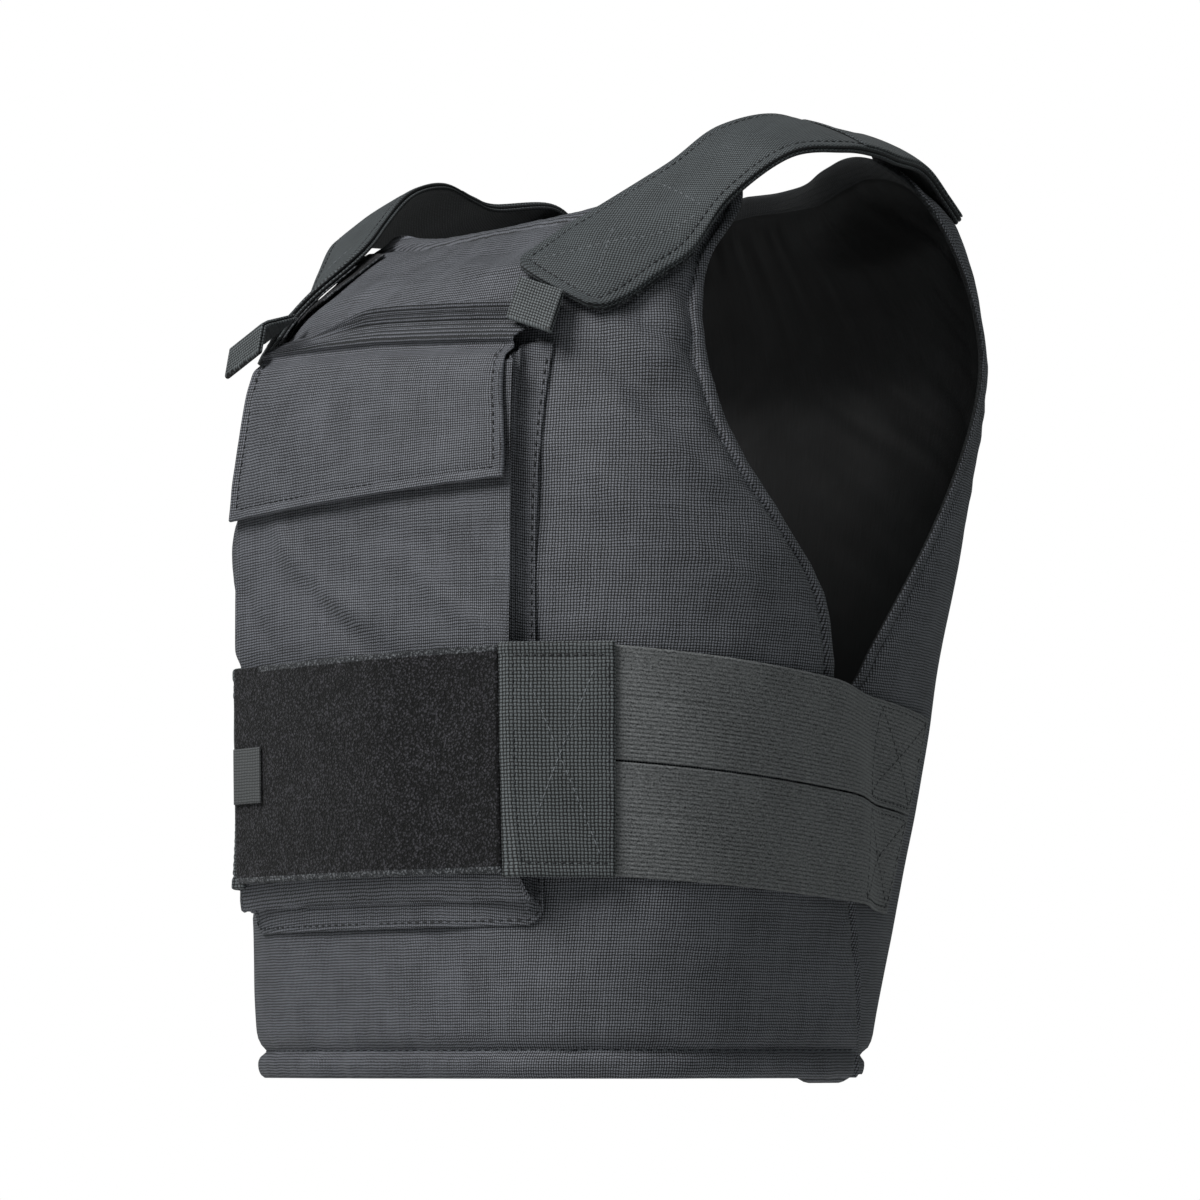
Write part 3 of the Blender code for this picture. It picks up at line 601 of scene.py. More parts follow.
def strap_stations():
    """Inner edge, middle and outer edge of the left strap, from the chest to the shoulder blade."""
    # inner angle, inner height, outer angle, outer height, clearance
    chest = [(28.0, 350.5, 43.5, 326.5, 5.4), (32.0, 361.0, 48.0, 334.0, 3.4),
             (36.5, 371.5, 53.5, 346.0, 3.0), (43.5, 380.0, 59.0, 357.0, 3.9)]
    over = [((93, -50, 403), (136, -54, 382)), ((101, -25, 422.5), (150, -31, 402.5)),
            ((107, 2, 431), (158, -5, 407.5)), ((112, 26, 428), (157, 16, 409)),
            ((115, 44, 427), (152, 37, 409))]
    blade = [(126.5, 429.0, 113.5, 410.0, 1.6), (130.0, 419.0, 117.0, 400.0, 0.7),
             (132.0, 409.0, 120.0, 391.0, 0.5)]
    share = np.array((0.0, 0.5, 1.0))

    def lying(rows, station):
        inner_angle, inner_height, outer_angle, outer_height, clearance = station
        return torso_points(rows, mix(inner_angle, outer_angle, share),
                            mix(inner_height, outer_height, share), clearance + 0.0 * share)

    def bridging(inner, outer):
        inner, outer = np.array(inner, float), np.array(outer, float)
        lift = unit(np.cross(outer - inner, (0.0, 1.0, 0.0))) * STRAP_BELLY
        return np.stack([inner, mix(inner, outer, 0.5) + lift, outer])

    return np.stack([lying(FRONT_SECTIONS, row) for row in chest] + [bridging(*row) for row in over]
                    + [lying(BACK_SECTIONS, row) for row in blade])


STRAP = strap_stations()
STRAP_LAST = len(STRAP) - 1


def spline(points, position):
    """Smooth curve through rows of points, position counted in rows."""
    index = np.clip(position.astype(int), 0, STRAP_LAST - 1)
    t = (position - index)[..., None]
    start, end = points[index], points[index + 1]
    before = points[np.maximum(index - 1, 0)]
    after = points[np.minimum(index + 2, STRAP_LAST)]
    rise = np.where((index > 0)[..., None], (end - before) * 0.5, end - start)
    fall = np.where((index < STRAP_LAST - 1)[..., None], (after - start) * 0.5, end - start)
    return (start * (2 * t ** 3 - 3 * t ** 2 + 1) + rise * (t ** 3 - 2 * t ** 2 + t)
            + end * (3 * t ** 2 - 2 * t ** 3) + fall * (t ** 3 - t ** 2))


def strap_face(share, position, out=0.0):
    """Point of the left strap at a share of its width, a station position and a height off its seat."""
    share, position = np.broadcast_arrays(np.asarray(share, float), np.asarray(position, float))

    def crossing(where, split):
        inner, middle, outer = (spline(STRAP[:, line], where) for line in range(3))
        split = split[..., None]
        return (inner * (1.0 - split) * (1.0 - 2.0 * split) + middle * 4.0 * split * (1.0 - split)
                + outer * split * (2.0 * split - 1.0))

    here = np.clip(position, 0.01, STRAP_LAST - 0.01)
    along = crossing(here + 0.01, share) - crossing(here - 0.01, share)
    width = crossing(here, share + 0.02) - crossing(here, share - 0.02)
    normal = unit(np.cross(width, along))
    return crossing(position, share) + normal * np.asarray(out)[..., None]


# Mesh building

def spaced(start, end, step, edge=()):
    """Even grid lines from start to end, with extra lines at small distances from both ends."""
    sign = 1.0 if end > start else -1.0
    inner = edge[-1] if edge else 0.0
    first, last = start + sign * inner, end - sign * inner
    count = max(1, round(abs(last - first) / step))
    middle = list(np.linspace(first, last, count + 1))
    if not edge:
        return np.array(middle)
    near = [start] + [start + sign * gap for gap in edge[:-1]]
    far = [end - sign * gap for gap in reversed(edge[:-1])] + [end]
    return np.array(near + middle + far)


def place_points(mesh, points):
    """Write millimetre points above the hem into a mesh, in metres of the frame."""
    points = (points + (0.0, 0.0, HEM_Z)) * MM
    mesh.vertices.foreach_set("co", points.astype(np.float32).ravel())
    mesh.update()


def mesh_points(mesh):
    """Vertex places of a mesh, as rows of x, y and z."""
    points = np.zeros(len(mesh.vertices) * 3)
    mesh.vertices.foreach_get("co", points)
    return points.reshape(-1, 3)


def stored_mesh(bm, name):
    """Mesh made from a finished bmesh."""
    mesh = bpy.data.meshes.new(name)
    bm.to_mesh(mesh)
    bm.free()
    return mesh


def run_length(points):
    """Distance along a line of points, from its first one."""
    return np.concatenate([[0.0], np.cumsum(np.linalg.norm(np.diff(points, axis=0), axis=1))])


def turn_outwards(mesh):
    """Turn a closed mesh's faces outwards, judged by its signed volume."""
    points = mesh_points(mesh)
    mesh.calc_loop_triangles()
    corners = np.zeros(len(mesh.loop_triangles) * 3, int)
    mesh.loop_triangles.foreach_get("vertices", corners)
    a, b, c = points[corners.reshape(-1, 3)].swapaxes(0, 1)
    if (a * np.cross(b, c)).sum() < 0.0:
        mesh.flip_normals()


def cloth_shell(name, columns, rows):
    """Closed mesh of two skins and a rim, with the column, row and skin of each vertex."""
    across, along = len(columns) - 1, len(rows) - 1
    bm = bmesh.new()
    bmesh.ops.create_grid(bm, x_segments=across, y_segments=along, size=0.5)
    grown = bmesh.ops.extrude_face_region(bm, geom=bm.faces[:], use_keep_orig=True)
    lifted = [item for item in grown["geom"] if isinstance(item, bmesh.types.BMVert)]
    bmesh.ops.translate(bm, verts=lifted, vec=(0.0, 0.0, 1.0))
    bmesh.ops.recalc_face_normals(bm, faces=bm.faces[:])
    mesh = stored_mesh(bm, name)
    grid = mesh_points(mesh)
    column = columns[np.rint((grid[:, 0] + 0.5) * across).astype(int)]
    row = rows[np.rint((grid[:, 1] + 0.5) * along).astype(int)]
    return mesh, column, row, grid[:, 2] > 0.5


def unrolled(columns, rows, outer, column, row):
    """Place of each vertex on the flat cut, measured along the cloth's middle lines."""
    middle_row = np.full(len(columns), rows[(len(rows) - 1) // 2])
    middle_column = np.full(len(rows), columns[(len(columns) - 1) // 2])
    run = run_length(outer(columns, middle_row))
    rise = run_length(outer(middle_column, rows))
    order = np.argsort(columns)
    climb = np.argsort(rows)
    return np.interp(column, columns[order], run[order]), np.interp(row, rows[climb], rise[climb])


def layered_cloth(name, columns, rows, outer, inner, materials, flat=None, zone=None, sharp=40.0):
    """Closed cloth piece: one grid extruded to two skins, each placed by its own surface.

    Material 0 is the outer skin, 1 the inner skin and 2 the rim. flat gives the place on the
    flat cut in millimetres, and zone picks another material for faces by column and row.
    """
    columns, rows = np.asarray(columns, float), np.asarray(rows, float)
    mesh, column, row, top = cloth_shell(name, columns, rows)
    place_points(mesh, np.where(top[:, None], outer(column, row), inner(column, row)))
    turn_outwards(mesh)

    place = flat(column, row) if flat else unrolled(columns, rows, outer, column, row)
    corners = np.zeros(len(mesh.loops), int)
    mesh.loops.foreach_get("vertex_index", corners)
    layer = mesh.uv_layers.new(name="flat_cut")
    uv = np.stack(place, axis=-1)[corners] * MM
    layer.data.foreach_set("uv", uv.astype(np.float32).ravel())

    quads = corners.reshape(-1, 4)
    height = top[quads].sum(axis=1)
    slots = np.select([height == 4, height == 0], [0, 1], 2)
    if zone is not None:
        slots = zone(column[quads].mean(axis=1), row[quads].mean(axis=1), slots)
    slots = np.minimum(slots, len(materials) - 1)
    for cloth in materials:
        mesh.materials.append(cloth)
    mesh.polygons.foreach_set("material_index", slots.astype(np.int32))
    return finish_piece(name, mesh, sharp)


def linked_piece(name, mesh):
    """Piece with a mesh, at the origin, that rides on the vest's body."""
    piece = bpy.data.objects.new(name, mesh)
    bpy.context.scene.collection.objects.link(piece)
    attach(piece, BODY)
    return piece


def finish_piece(name, mesh, sharp=40.0):
    """Piece with a smooth-shaded mesh, creased where its faces turn by more than an angle."""
    mesh.shade_smooth()
    mesh.set_sharp_from_angle(angle=math.radians(sharp))
    return linked_piece(name, mesh)


def soft_sheet(name, columns, rows, surface, thickness, materials, relief=None, seat=0.0, **more):
    """Cloth of even thickness with rounded edges, lying on a surface, with relief on its outer skin."""
    columns, rows = np.asarray(columns, float), np.asarray(rows, float)
    width = surface(columns[[0, -1]], np.full(2, rows[len(rows) // 2]))
    length = surface(np.full(2, columns[len(columns) // 2]), rows[[0, -1]])
    column_size = np.linalg.norm(width[1] - width[0]) / abs(columns[-1] - columns[0])
    row_size = np.linalg.norm(length[1] - length[0]) / abs(rows[-1] - rows[0])

    def fullness(column, row):
        side = np.minimum(np.abs(column - columns[0]), np.abs(columns[-1] - column)) * column_size
        end = np.minimum(np.abs(row - rows[0]), np.abs(rows[-1] - row)) * row_size
        near = np.clip(np.minimum(side, end) / (EDGE_ROLL * thickness), 0.0, 1.0)
        return 0.3 + 0.7 * np.sqrt(1.0 - (1.0 - near) ** 2)

    def outer(column, row):
        swell = fullness(column, row)
        bumps = relief(column, row) * swell if relief is not None else 0.0
        return surface(column, row, seat + 0.5 * thickness * (1.0 + swell) + bumps)

    def inner(column, row):
        return surface(column, row, seat + 0.5 * thickness * (1.0 - fullness(column, row)))

    return layered_cloth(name, columns, rows, outer, inner, materials, **more)


def to_right_side(mesh):
    """Turn a mesh of the left side into one of the right side."""
    mesh.transform(Matrix.Scale(-1.0, 4, Vector((1.0, 0.0, 0.0))))
    mesh.flip_normals()


def mirrored(piece, name):
    """Copy of a left piece on the right side of the body."""
    mesh = piece.data.copy()
    mesh.name = name
    to_right_side(mesh)
    return linked_piece(name, mesh)


def stitching(name, surface, paths, thread, length=3.0, pitch=4.6, seat=0.0, width=THREAD_WIDTH):
    """Rows of thread stitches along paths given in a surface's own two coordinates."""
    bm = bmesh.new()
    for path in paths:
        path = np.asarray(path, float)
        counted = np.linspace(0, len(path) - 1, 40 * (len(path) - 1) + 1)
        first = np.interp(counted, np.arange(len(path)), path[:, 0])
        second = np.interp(counted, np.arange(len(path)), path[:, 1])
        line = surface(first, second, seat)
        raised = surface(first, second, seat + 1.0)
        run = run_length(line)

        def point(row, place, run=run):
            return np.array([np.interp(place, run, row[:, axis]) for axis in range(3)])

        for centre in np.arange(0.5 * pitch, run[-1] - 0.3 * pitch, pitch):
            middle = point(line, centre)
            ends = point(line, centre - 0.5 * length), point(line, centre + 0.5 * length)
            forward = Vector(ends[1] - ends[0]).normalized()
            aside = Vector(point(raised, centre) - middle).normalized().cross(forward).normalized()
            normal = forward.cross(aside).normalized()
            spot = (Vector(middle) + Vector((0.0, 0.0, HEM_Z))) * MM
            turn = Matrix((forward * (0.5 * length * MM), aside * (0.5 * width * MM),
                           normal * (0.5 * THREAD_HEIGHT * MM))).transposed().to_4x4()
            bmesh.ops.create_icosphere(bm, subdivisions=1, radius=1.0, matrix=Matrix.Translation(spot) @ turn)
    bmesh.ops.recalc_face_normals(bm, faces=bm.faces[:])
    mesh = stored_mesh(bm, name)
    mesh.materials.append(thread)
    return finish_piece(name, mesh, 180.0)


# Materials

def linear(code):
    """sRGB hex colour as linear RGBA."""
    shares = [int(code[at:at + 2], 16) / 255.0 for at in (1, 3, 5)]
    parts = [share / 12.92 if share <= 0.04045 else ((share + 0.055) / 1.055) ** 2.4 for share in shares]
    return (*parts, 1.0)


def add_node(tree, kind, links=(), **settings):
    """Add a node with its settings, and its input values or links by input name or number."""
    node = tree.nodes.new(kind)
    for key, value in settings.items():
        setattr(node, key, value)
    for key, value in dict(links).items():
        if isinstance(value, bpy.types.NodeSocket):
            tree.links.new(value, node.inputs[key])
        else:
            node.inputs[key].default_value = value
    return node


def new_material(name, roughness, specular=0.4, sheen=0.0, sheen_roughness=0.5):
    """Principled material with its constant settings on the shader's own sockets."""
    material = bpy.data.materials.new(name)
    material.use_nodes = True
    tree = material.node_tree
    shader = tree.nodes["Principled BSDF"]
    shader.inputs["Roughness"].default_value = roughness
    shader.inputs["IOR"].default_value = 1.5
    shader.inputs["Specular IOR Level"].default_value = specular
    shader.inputs["Sheen Weight"].default_value = sheen
    shader.inputs["Sheen Roughness"].default_value = sheen_roughness
    return material, tree, shader


def flat_cut(tree):
    """Place on a piece's own flat cut, in metres."""
    return add_node(tree, "ShaderNodeUVMap", uv_map="flat_cut").outputs[0]


def weighted_sum(tree, *terms):
    """Sum of values, each times its weight."""
    total = 0.0
    for value, weight in terms:
        step = add_node(tree, "ShaderNodeMath", {0: value, 1: weight, 2: total}, operation="MULTIPLY_ADD")
        total = step.outputs[0]
    return total


def mottle(tree, coordinates, size, detail=2.0, rough=0.5, stretch=(1.0, 1.0, 1.0)):
    """Blobs of about a size in millimetres, drawn out along an axis where its stretch is under one."""
    scale = tuple(share / (size * MM) for share in stretch)
    place = add_node(tree, "ShaderNodeMapping", {"Vector": coordinates, "Scale": scale}).outputs[0]
    return add_node(tree, "ShaderNodeTexNoise", {"Vector": place, "Scale": 1.0, "Detail": detail,
                                                 "Roughness": rough}).outputs[0]


def tint(tree, value, low, high, colours):
    """Blend from a dark to a light colour over a range of a value."""
    spread = add_node(tree, "ShaderNodeMapRange", {"Value": value, "From Min": low, "From Max": high})
    dark, light = colours
    inputs = {"Factor": spread.outputs[0], 6: dark, 7: light}
    return add_node(tree, "ShaderNodeMix", inputs, data_type="RGBA").outputs[2]


def thread_rise(tree, place, pitch):
    """Rounded rise over each thread of a pitch in millimetres, from 0 in the gaps to 1 on top."""
    turn = weighted_sum(tree, (place, math.pi / (pitch * MM)))
    wave = add_node(tree, "ShaderNodeMath", {0: turn}, operation="SINE").outputs[0]
    return add_node(tree, "ShaderNodeMath", {0: wave}, operation="ABSOLUTE").outputs[0]


def weave(tree, coordinates, warp_pitch, weft_pitch):
    """Height of a plain weave from 0 to 1, and 1 where the weft lies on top."""
    split = add_node(tree, "ShaderNodeSeparateXYZ", {0: coordinates})
    threads = []
    rows = []
    for place, pitch in ((split.outputs[0], warp_pitch), (split.outputs[1], weft_pitch)):
        threads.append(thread_rise(tree, place, pitch))
        counted = weighted_sum(tree, (place, 1.0 / (pitch * MM)))
        rows.append(add_node(tree, "ShaderNodeMath", {0: counted}, operation="FLOOR").outputs[0])
    cells = weighted_sum(tree, (rows[0], 1.0), (rows[1], 1.0))
    over = add_node(tree, "ShaderNodeMath", {0: cells, 1: 1.0}, operation="PINGPONG").outputs[0]
    tops = []
    for top, under in (threads, threads[::-1]):
        dip = add_node(tree, "ShaderNodeMath", {0: under, 1: 0.5, 2: 0.5}, operation="MULTIPLY_ADD")
        dipped = add_node(tree, "ShaderNodeMath", {0: top, 1: dip.outputs[0]}, operation="MULTIPLY")
        tops.append(dipped.outputs[0])
    crossing = add_node(tree, "ShaderNodeMix", {"Factor": over, 2: tops[0], 3: tops[1]}, data_type="FLOAT")
    return crossing.outputs[0], over


def finish_cloth(tree, shader, colour, height, distance):
    """Connect a colour and a bump height, deep as a distance in millimetres, to the shader."""
    tree.links.new(colour, shader.inputs["Base Color"])
    bump = add_node(tree, "ShaderNodeBump", {"Height": height, "Distance": distance * MM, "Strength": 1.0})
    tree.links.new(bump.outputs[0], shader.inputs["Normal"])


def woven(name, dark, light, warp_pitch, weft_pitch, roughness, sheen, relief, speckle, turn=0.0):
    """Woven cloth: threads crossing over and under, each thread a little lighter or darker, with painted
    shade between the threads and painted highlights on their raised tops.

    The real threads are about half as wide, and too fine to show at the picture's size.
    """
    material, tree, shader = new_material(name, roughness, 0.35, sheen)
    flat = flat_cut(tree)
    drift = add_node(tree, "ShaderNodeTexNoise", {"Vector": flat, "Scale": 1.0 / (9.0 * MM)}).outputs[1]
    wandering = add_node(tree, "ShaderNodeVectorMath", {0: drift, 1: (0.9 * MM,) * 3, 2: flat},
                         operation="MULTIPLY_ADD").outputs[0]
    turned = add_node(tree, "ShaderNodeMapping",
                      {"Vector": wandering, "Rotation": (0.0, 0.0, turn)}).outputs[0]
    height, over = weave(tree, turned, warp_pitch, weft_pitch)
    warp_thread = mottle(tree, turned, 0.9 * warp_pitch, 1.0, stretch=(1.0, 0.06, 1.0))
    weft_thread = mottle(tree, turned, 0.9 * weft_pitch, 1.0, stretch=(0.06, 1.0, 1.0))
    slub = add_node(tree, "ShaderNodeMix", {"Factor": over, 2: warp_thread, 3: weft_thread},
                    data_type="FLOAT").outputs[0]
    grain = mottle(tree, flat, 0.8, 2.0, 0.7)
    cloud = mottle(tree, flat, 26.0, 3.0)
    # the weave height paints shade between the threads and highlights on their tops; slub, grain and cloud
    # are the cloth's own tone
    tone_and_painted_shade = weighted_sum(tree, (height, 0.9), (slub, speckle), (grain, 1.4 * speckle), (cloud, 0.25))
    middle = 0.625 + 1.2 * speckle
    colour = tint(tree, tone_and_painted_shade, middle - 0.2, middle + 0.26, (linear(dark), linear(light)))
    finish_cloth(tree, shader, colour, height, relief)
    return material


@cache
def oxford_cloth():
    """Polyester oxford: matt basket-like grain, a faint bluish charcoal, with painted highlights on the
    raised threads and painted shade between them.
    """
    return woven("polyester_oxford_cloth", "#020203", "#75777e", 1.2, 1.25, 0.62, 0.05, 0.22, 0.4)


@cache
def strap_cloth():
    """Heavier nylon on the straps: coarser threads and a green-grey cast."""
    return woven("nylon_strap_cloth", "#030404", "#5d6366", 1.4, 1.2, 0.6, 0.08, 0.24, 0.3, math.radians(62))


@cache
def patch_webbing():
    """Plain-woven polyester webbing: clear rows of small rounded threads with a soft shine."""
    return woven("polyester_webbing", "#050606", "#666b6d", 1.7, 1.5, 0.58, 0.05, 0.26, 0.3)


@cache
def tab_webbing():
    """Small plain-woven nylon end tab, greyer than the patch."""
    return woven("nylon_end_tab", "#2e3031", "#5c5e5f", 1.3, 1.3, 0.7, 0.1, 0.22, 0.25)


@cache
def twill_and_groove_shade():
    """Black binding twill round the armholes and neckline, finer and darker than the outer cloth; on the
    pocket flap it is painted shade in the cord grooves.
    """
    return woven("binding_twill", "#060607", "#26292c", 1.3, 1.3, 0.66, 0.05, 0.14, 0.3, math.radians(45))


@cache
def lining_satin():
    """Acetate satin lining: nearly black, smooth, with soft broad highlights on its gathers."""
    material, tree, shader = new_material("acetate_satin_lining", 0.5, 0.2)
    flat = flat_cut(tree)
    threads = mottle(tree, flat, 0.7, 2.0, stretch=(1.0, 0.05, 1.0))
    cloud = mottle(tree, flat, 20.0, 3.0)
    value = weighted_sum(tree, (threads, 1.0), (cloud, 0.5))
    colour = tint(tree, value, 0.45, 1.05, (linear("#060606"), linear("#111112")))
    finish_cloth(tree, shader, colour, threads, 0.05)
    return material


@cache
def elastic_knit():
    """Woven elastic: fine ribs along its length, dull grey, with paler flecks of covered rubber and a little
    painted shade between the ribs.
    """
    material, tree, shader = new_material("woven_elastic", 0.8, 0.3, 0.1)
    flat = flat_cut(tree)
    split = add_node(tree, "ShaderNodeSeparateXYZ", {0: flat})
    ribs = thread_rise(tree, split.outputs[1], RIB_PITCH)
    threads = mottle(tree, flat, 0.9, 2.0, 0.7, stretch=(0.3, 1.0, 1.0))
    flecks = mottle(tree, flat, 0.8, 2.0, 0.8)
    cloud = mottle(tree, flat, 30.0)
    # the rib term paints a little shade between the ribs; flecks, threads and cloud are the elastic's own
    # tone
    value = weighted_sum(tree, (ribs, 0.16), (flecks, 0.85), (threads, 0.4), (cloud, 0.12))
    colour = tint(tree, value, 0.58, 1.04, (linear("#161718"), linear("#868889")))
    finish_cloth(tree, shader, colour, value, 0.2)
    return material


def loop_pile(name, dark, light, sheen):
    """Brushed nylon loop pile: tiny tangled loops, black, with painted shade in the gaps and painted
    highlights on the loop tops.
    """
    material, tree, shader = new_material(name, 0.85, 0.25, sheen, 0.4)
    place = add_node(tree, "ShaderNodeTexCoord").outputs["Object"]
    loops = add_node(tree, "ShaderNodeTexVoronoi",
                     {"Vector": place, "Scale": 1.0 / (1.2 * MM)}).outputs["Distance"]
    tangle = mottle(tree, place, 1.0, 3.0, 0.75)
    patches = mottle(tree, place, 7.0)
    height = weighted_sum(tree, (tangle, 1.0), (loops, -0.5))
    # the loop height paints shade in the gaps and highlights on the tops; the patches are the pile's own
    # uneven tone
    value = weighted_sum(tree, (height, 1.0), (patches, 0.2))
    colour = tint(tree, value, 0.34, 0.62, (linear(dark), linear(light)))
    finish_cloth(tree, shader, colour, height, 0.9)
    return material


@cache
def pile():
    """Black face of the loop tape."""
    return loop_pile("loop_pile_black", "#020203", "#48474c", 0.1)


@cache
def selvedge():
    """Paler fuzz along the cut edges of the loop tape."""
    return loop_pile("loop_pile_selvedge", "#222427", "#7c7f83", 0.2)


def sewing_thread(name, code):
    """Bonded polyester sewing thread: slightly glossy twisted filament."""
    material, tree, shader = new_material(name, 0.5)
    place = add_node(tree, "ShaderNodeTexCoord").outputs["Object"]
    twist = mottle(tree, place, 0.5, 1.0)
    base = linear(code)
    darker = tuple(0.6 * part for part in base[:3]) + (1.0,)
    finish_cloth(tree, shader, tint(tree, twist, 0.3, 0.7, (darker, base)), twist, 0.1)
    return material


@cache
def dark_thread():
    """Charcoal thread of most seams."""
    return sewing_thread("charcoal_thread", "#2a2b2e")


@cache
def highlit_edge_thread():
    """Slate thread round the front panel's edge, paler than the charcoal thread as a painted highlight on the
    stitches.
    """
    return sewing_thread("slate_thread", "#63676b")


@cache
def grey_thread():
    """Light grey thread of the stitched crosses."""
    return sewing_thread("grey_thread", "#7c8084")


@cache
def studio_paper():
    """Matt white seamless backdrop paper with a very faint fibre."""
    material, tree, shader = new_material("studio_paper", 0.9, 0.2)
    place = add_node(tree, "ShaderNodeTexCoord").outputs["Object"]
    fibre = mottle(tree, place, 40.0, 3.0)
    colour = tint(tree, fibre, 0.2, 0.8, (linear("#ececec"), linear("#f2f2f2")))
    tree.links.new(colour, shader.inputs["Base Color"])
    return material


# Pieces

def vertex_points(piece):
    """Vertices of a piece in millimetres above the hem."""
    return mesh_points(piece.data) / MM - (0.0, 0.0, HEM_Z)


def press_in(piece):
    """Press a right-hand piece into the panel's padding where the closure is drawn tight."""
    points = vertex_points(piece)
    x, y, z = points.T
    wrapped = window(z, PATCH_BOTTOM - 12.0, PATCH_TOP + 12.0, 14.0, 14.0)
    depth = PRESS * wrapped * smoothstep((-x - 92.0) / 12.0) * smoothstep((-y - 60.0) / 40.0)
    place_points(piece.data, points + depth[:, None] * (0.7, 0.7, 0.0))


def tuck_in(piece):
    """Draw a right-hand patch piece in behind the pocket's corner, and press it in."""
    points = vertex_points(piece)
    across = points[:, 0]
    drawn = PINCH * window(across, -112.0, -40.0, 20.0, 30.0)
    place_points(piece.data, points + drawn[:, None] * (1.0, 0.0, 0.0))
    press_in(piece)


def panel_lines(width, height):
    """Grid places across a panel, -1 to 1, and up it, 0 to 1, close together where the seam runs."""
    edge = (0.5, 1.2, 2.5, 4.0, 5.2, 5.8, 6.4, 7.0, 8.0, 9.5, 12.0, 15.0, 18.0)
    return 2.0 * spaced(0.0, width, 3.1, edge) / width - 1.0, spaced(0.0, height, 2.9, edge) / height


def level_line(start, end, level, count=60):
    """Points of a straight line at one value of a surface's second coordinate."""
    return np.stack([np.linspace(start, end, count), np.full(count, level)], axis=-1)


def padded_panel(node, lines, locate, outer, inner, unroll, nearest, border):
    """Padded panel with a twill border on its lining side; locate turns grid places into angle and height."""
    def placed(surface):
        return lambda share, climb: surface(*locate(share, climb))

    def zone(share, climb, slots):
        return np.where((slots == 1) & (nearest(*locate(share, climb)) < border), 2, slots)

    panel = layered_cloth(node + "_cloth", *lines, placed(outer), placed(inner),
                          [oxford_cloth(), lining_satin(), twill_and_groove_shade()],
                          flat=placed(unroll), zone=zone, sharp=60.0)
    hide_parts(node)
    return panel


def make_front_panel():
    """Padded front panel with its edge and hem stitches."""
    def locate(share, climb):
        height = climb * curve(FRONT_TOP, np.abs(share))
        return share * curve(FRONT_SIDE, height), height

    def unroll(angle, height):
        return np.radians(angle) * FRONT_RADIUS, height

    def nearest(angle, height):
        return np.minimum(*front_gaps(angle, height)[:2])

    panel = padded_panel("front_panel", panel_lines(430.0, 392.0), locate, front_outer, front_inner,
                         unroll, nearest, FRONT_BORDER)
    press_in(panel)
    heights = np.linspace(14.0, 391.0, 90)
    edge = curve(FRONT_SIDE, heights) - np.degrees(STITCH_INSET / FRONT_RADIUS)
    span = np.linspace(-0.955, 0.955, 80)
    top = curve(FRONT_TOP, np.abs(span)) - STITCH_INSET
    paths = [np.stack([edge, heights], axis=-1), np.stack([-edge, heights], axis=-1),
             np.stack([span * curve(FRONT_SIDE, top), top], axis=-1),
             level_line(-112.0, 112.0, FRONT_HEM_STITCHES)]
    # the paler thread paints the highlight on the front panel's edge stitches
    stitching("front_panel_stitching", front_outer, paths, highlit_edge_thread(), seat=0.3)


def make_back_panel():
    """Padded back panel, its hem drawn up except near the left corner."""
    def locate(share, climb):
        corner = window(share, *BACK_HEM_CORNER, 0.06, 0.06)
        height = mix(-mix(-BACK_HEM_LIFT, BACK_HEM_DROP, corner), curve(BACK_TOP, np.abs(share)), climb)
        return 180.0 - share * (180.0 - curve(BACK_SIDE, height)), height

    def unroll(angle, height):
        return np.radians(180.0 - angle) * BACK_RADIUS, height

    def nearest(angle, height):
        return np.min(back_gaps(angle, height), axis=0)

    padded_panel("back_panel", panel_lines(440.0, 420.0), locate, back_outer, back_inner,
                 unroll, nearest, BACK_BORDER)
    heights = np.linspace(14.0, 392.0, 90)
    edge = curve(BACK_SIDE, heights) + np.degrees(STITCH_INSET / BACK_RADIUS)
    span = np.linspace(-0.95, 0.95, 80)
    top = curve(BACK_TOP, np.abs(span)) - STITCH_INSET
    paths = [np.stack([edge, heights], axis=-1), np.stack([360.0 - edge, heights], axis=-1),
             np.stack([180.0 - span * (180.0 - curve(BACK_SIDE, top)), top], axis=-1),
             level_line(80.0, 280.0, BACK_HEM_STITCHES)]
    stitching("back_panel_stitching", back_outer, paths, dark_thread(), seat=0.1)


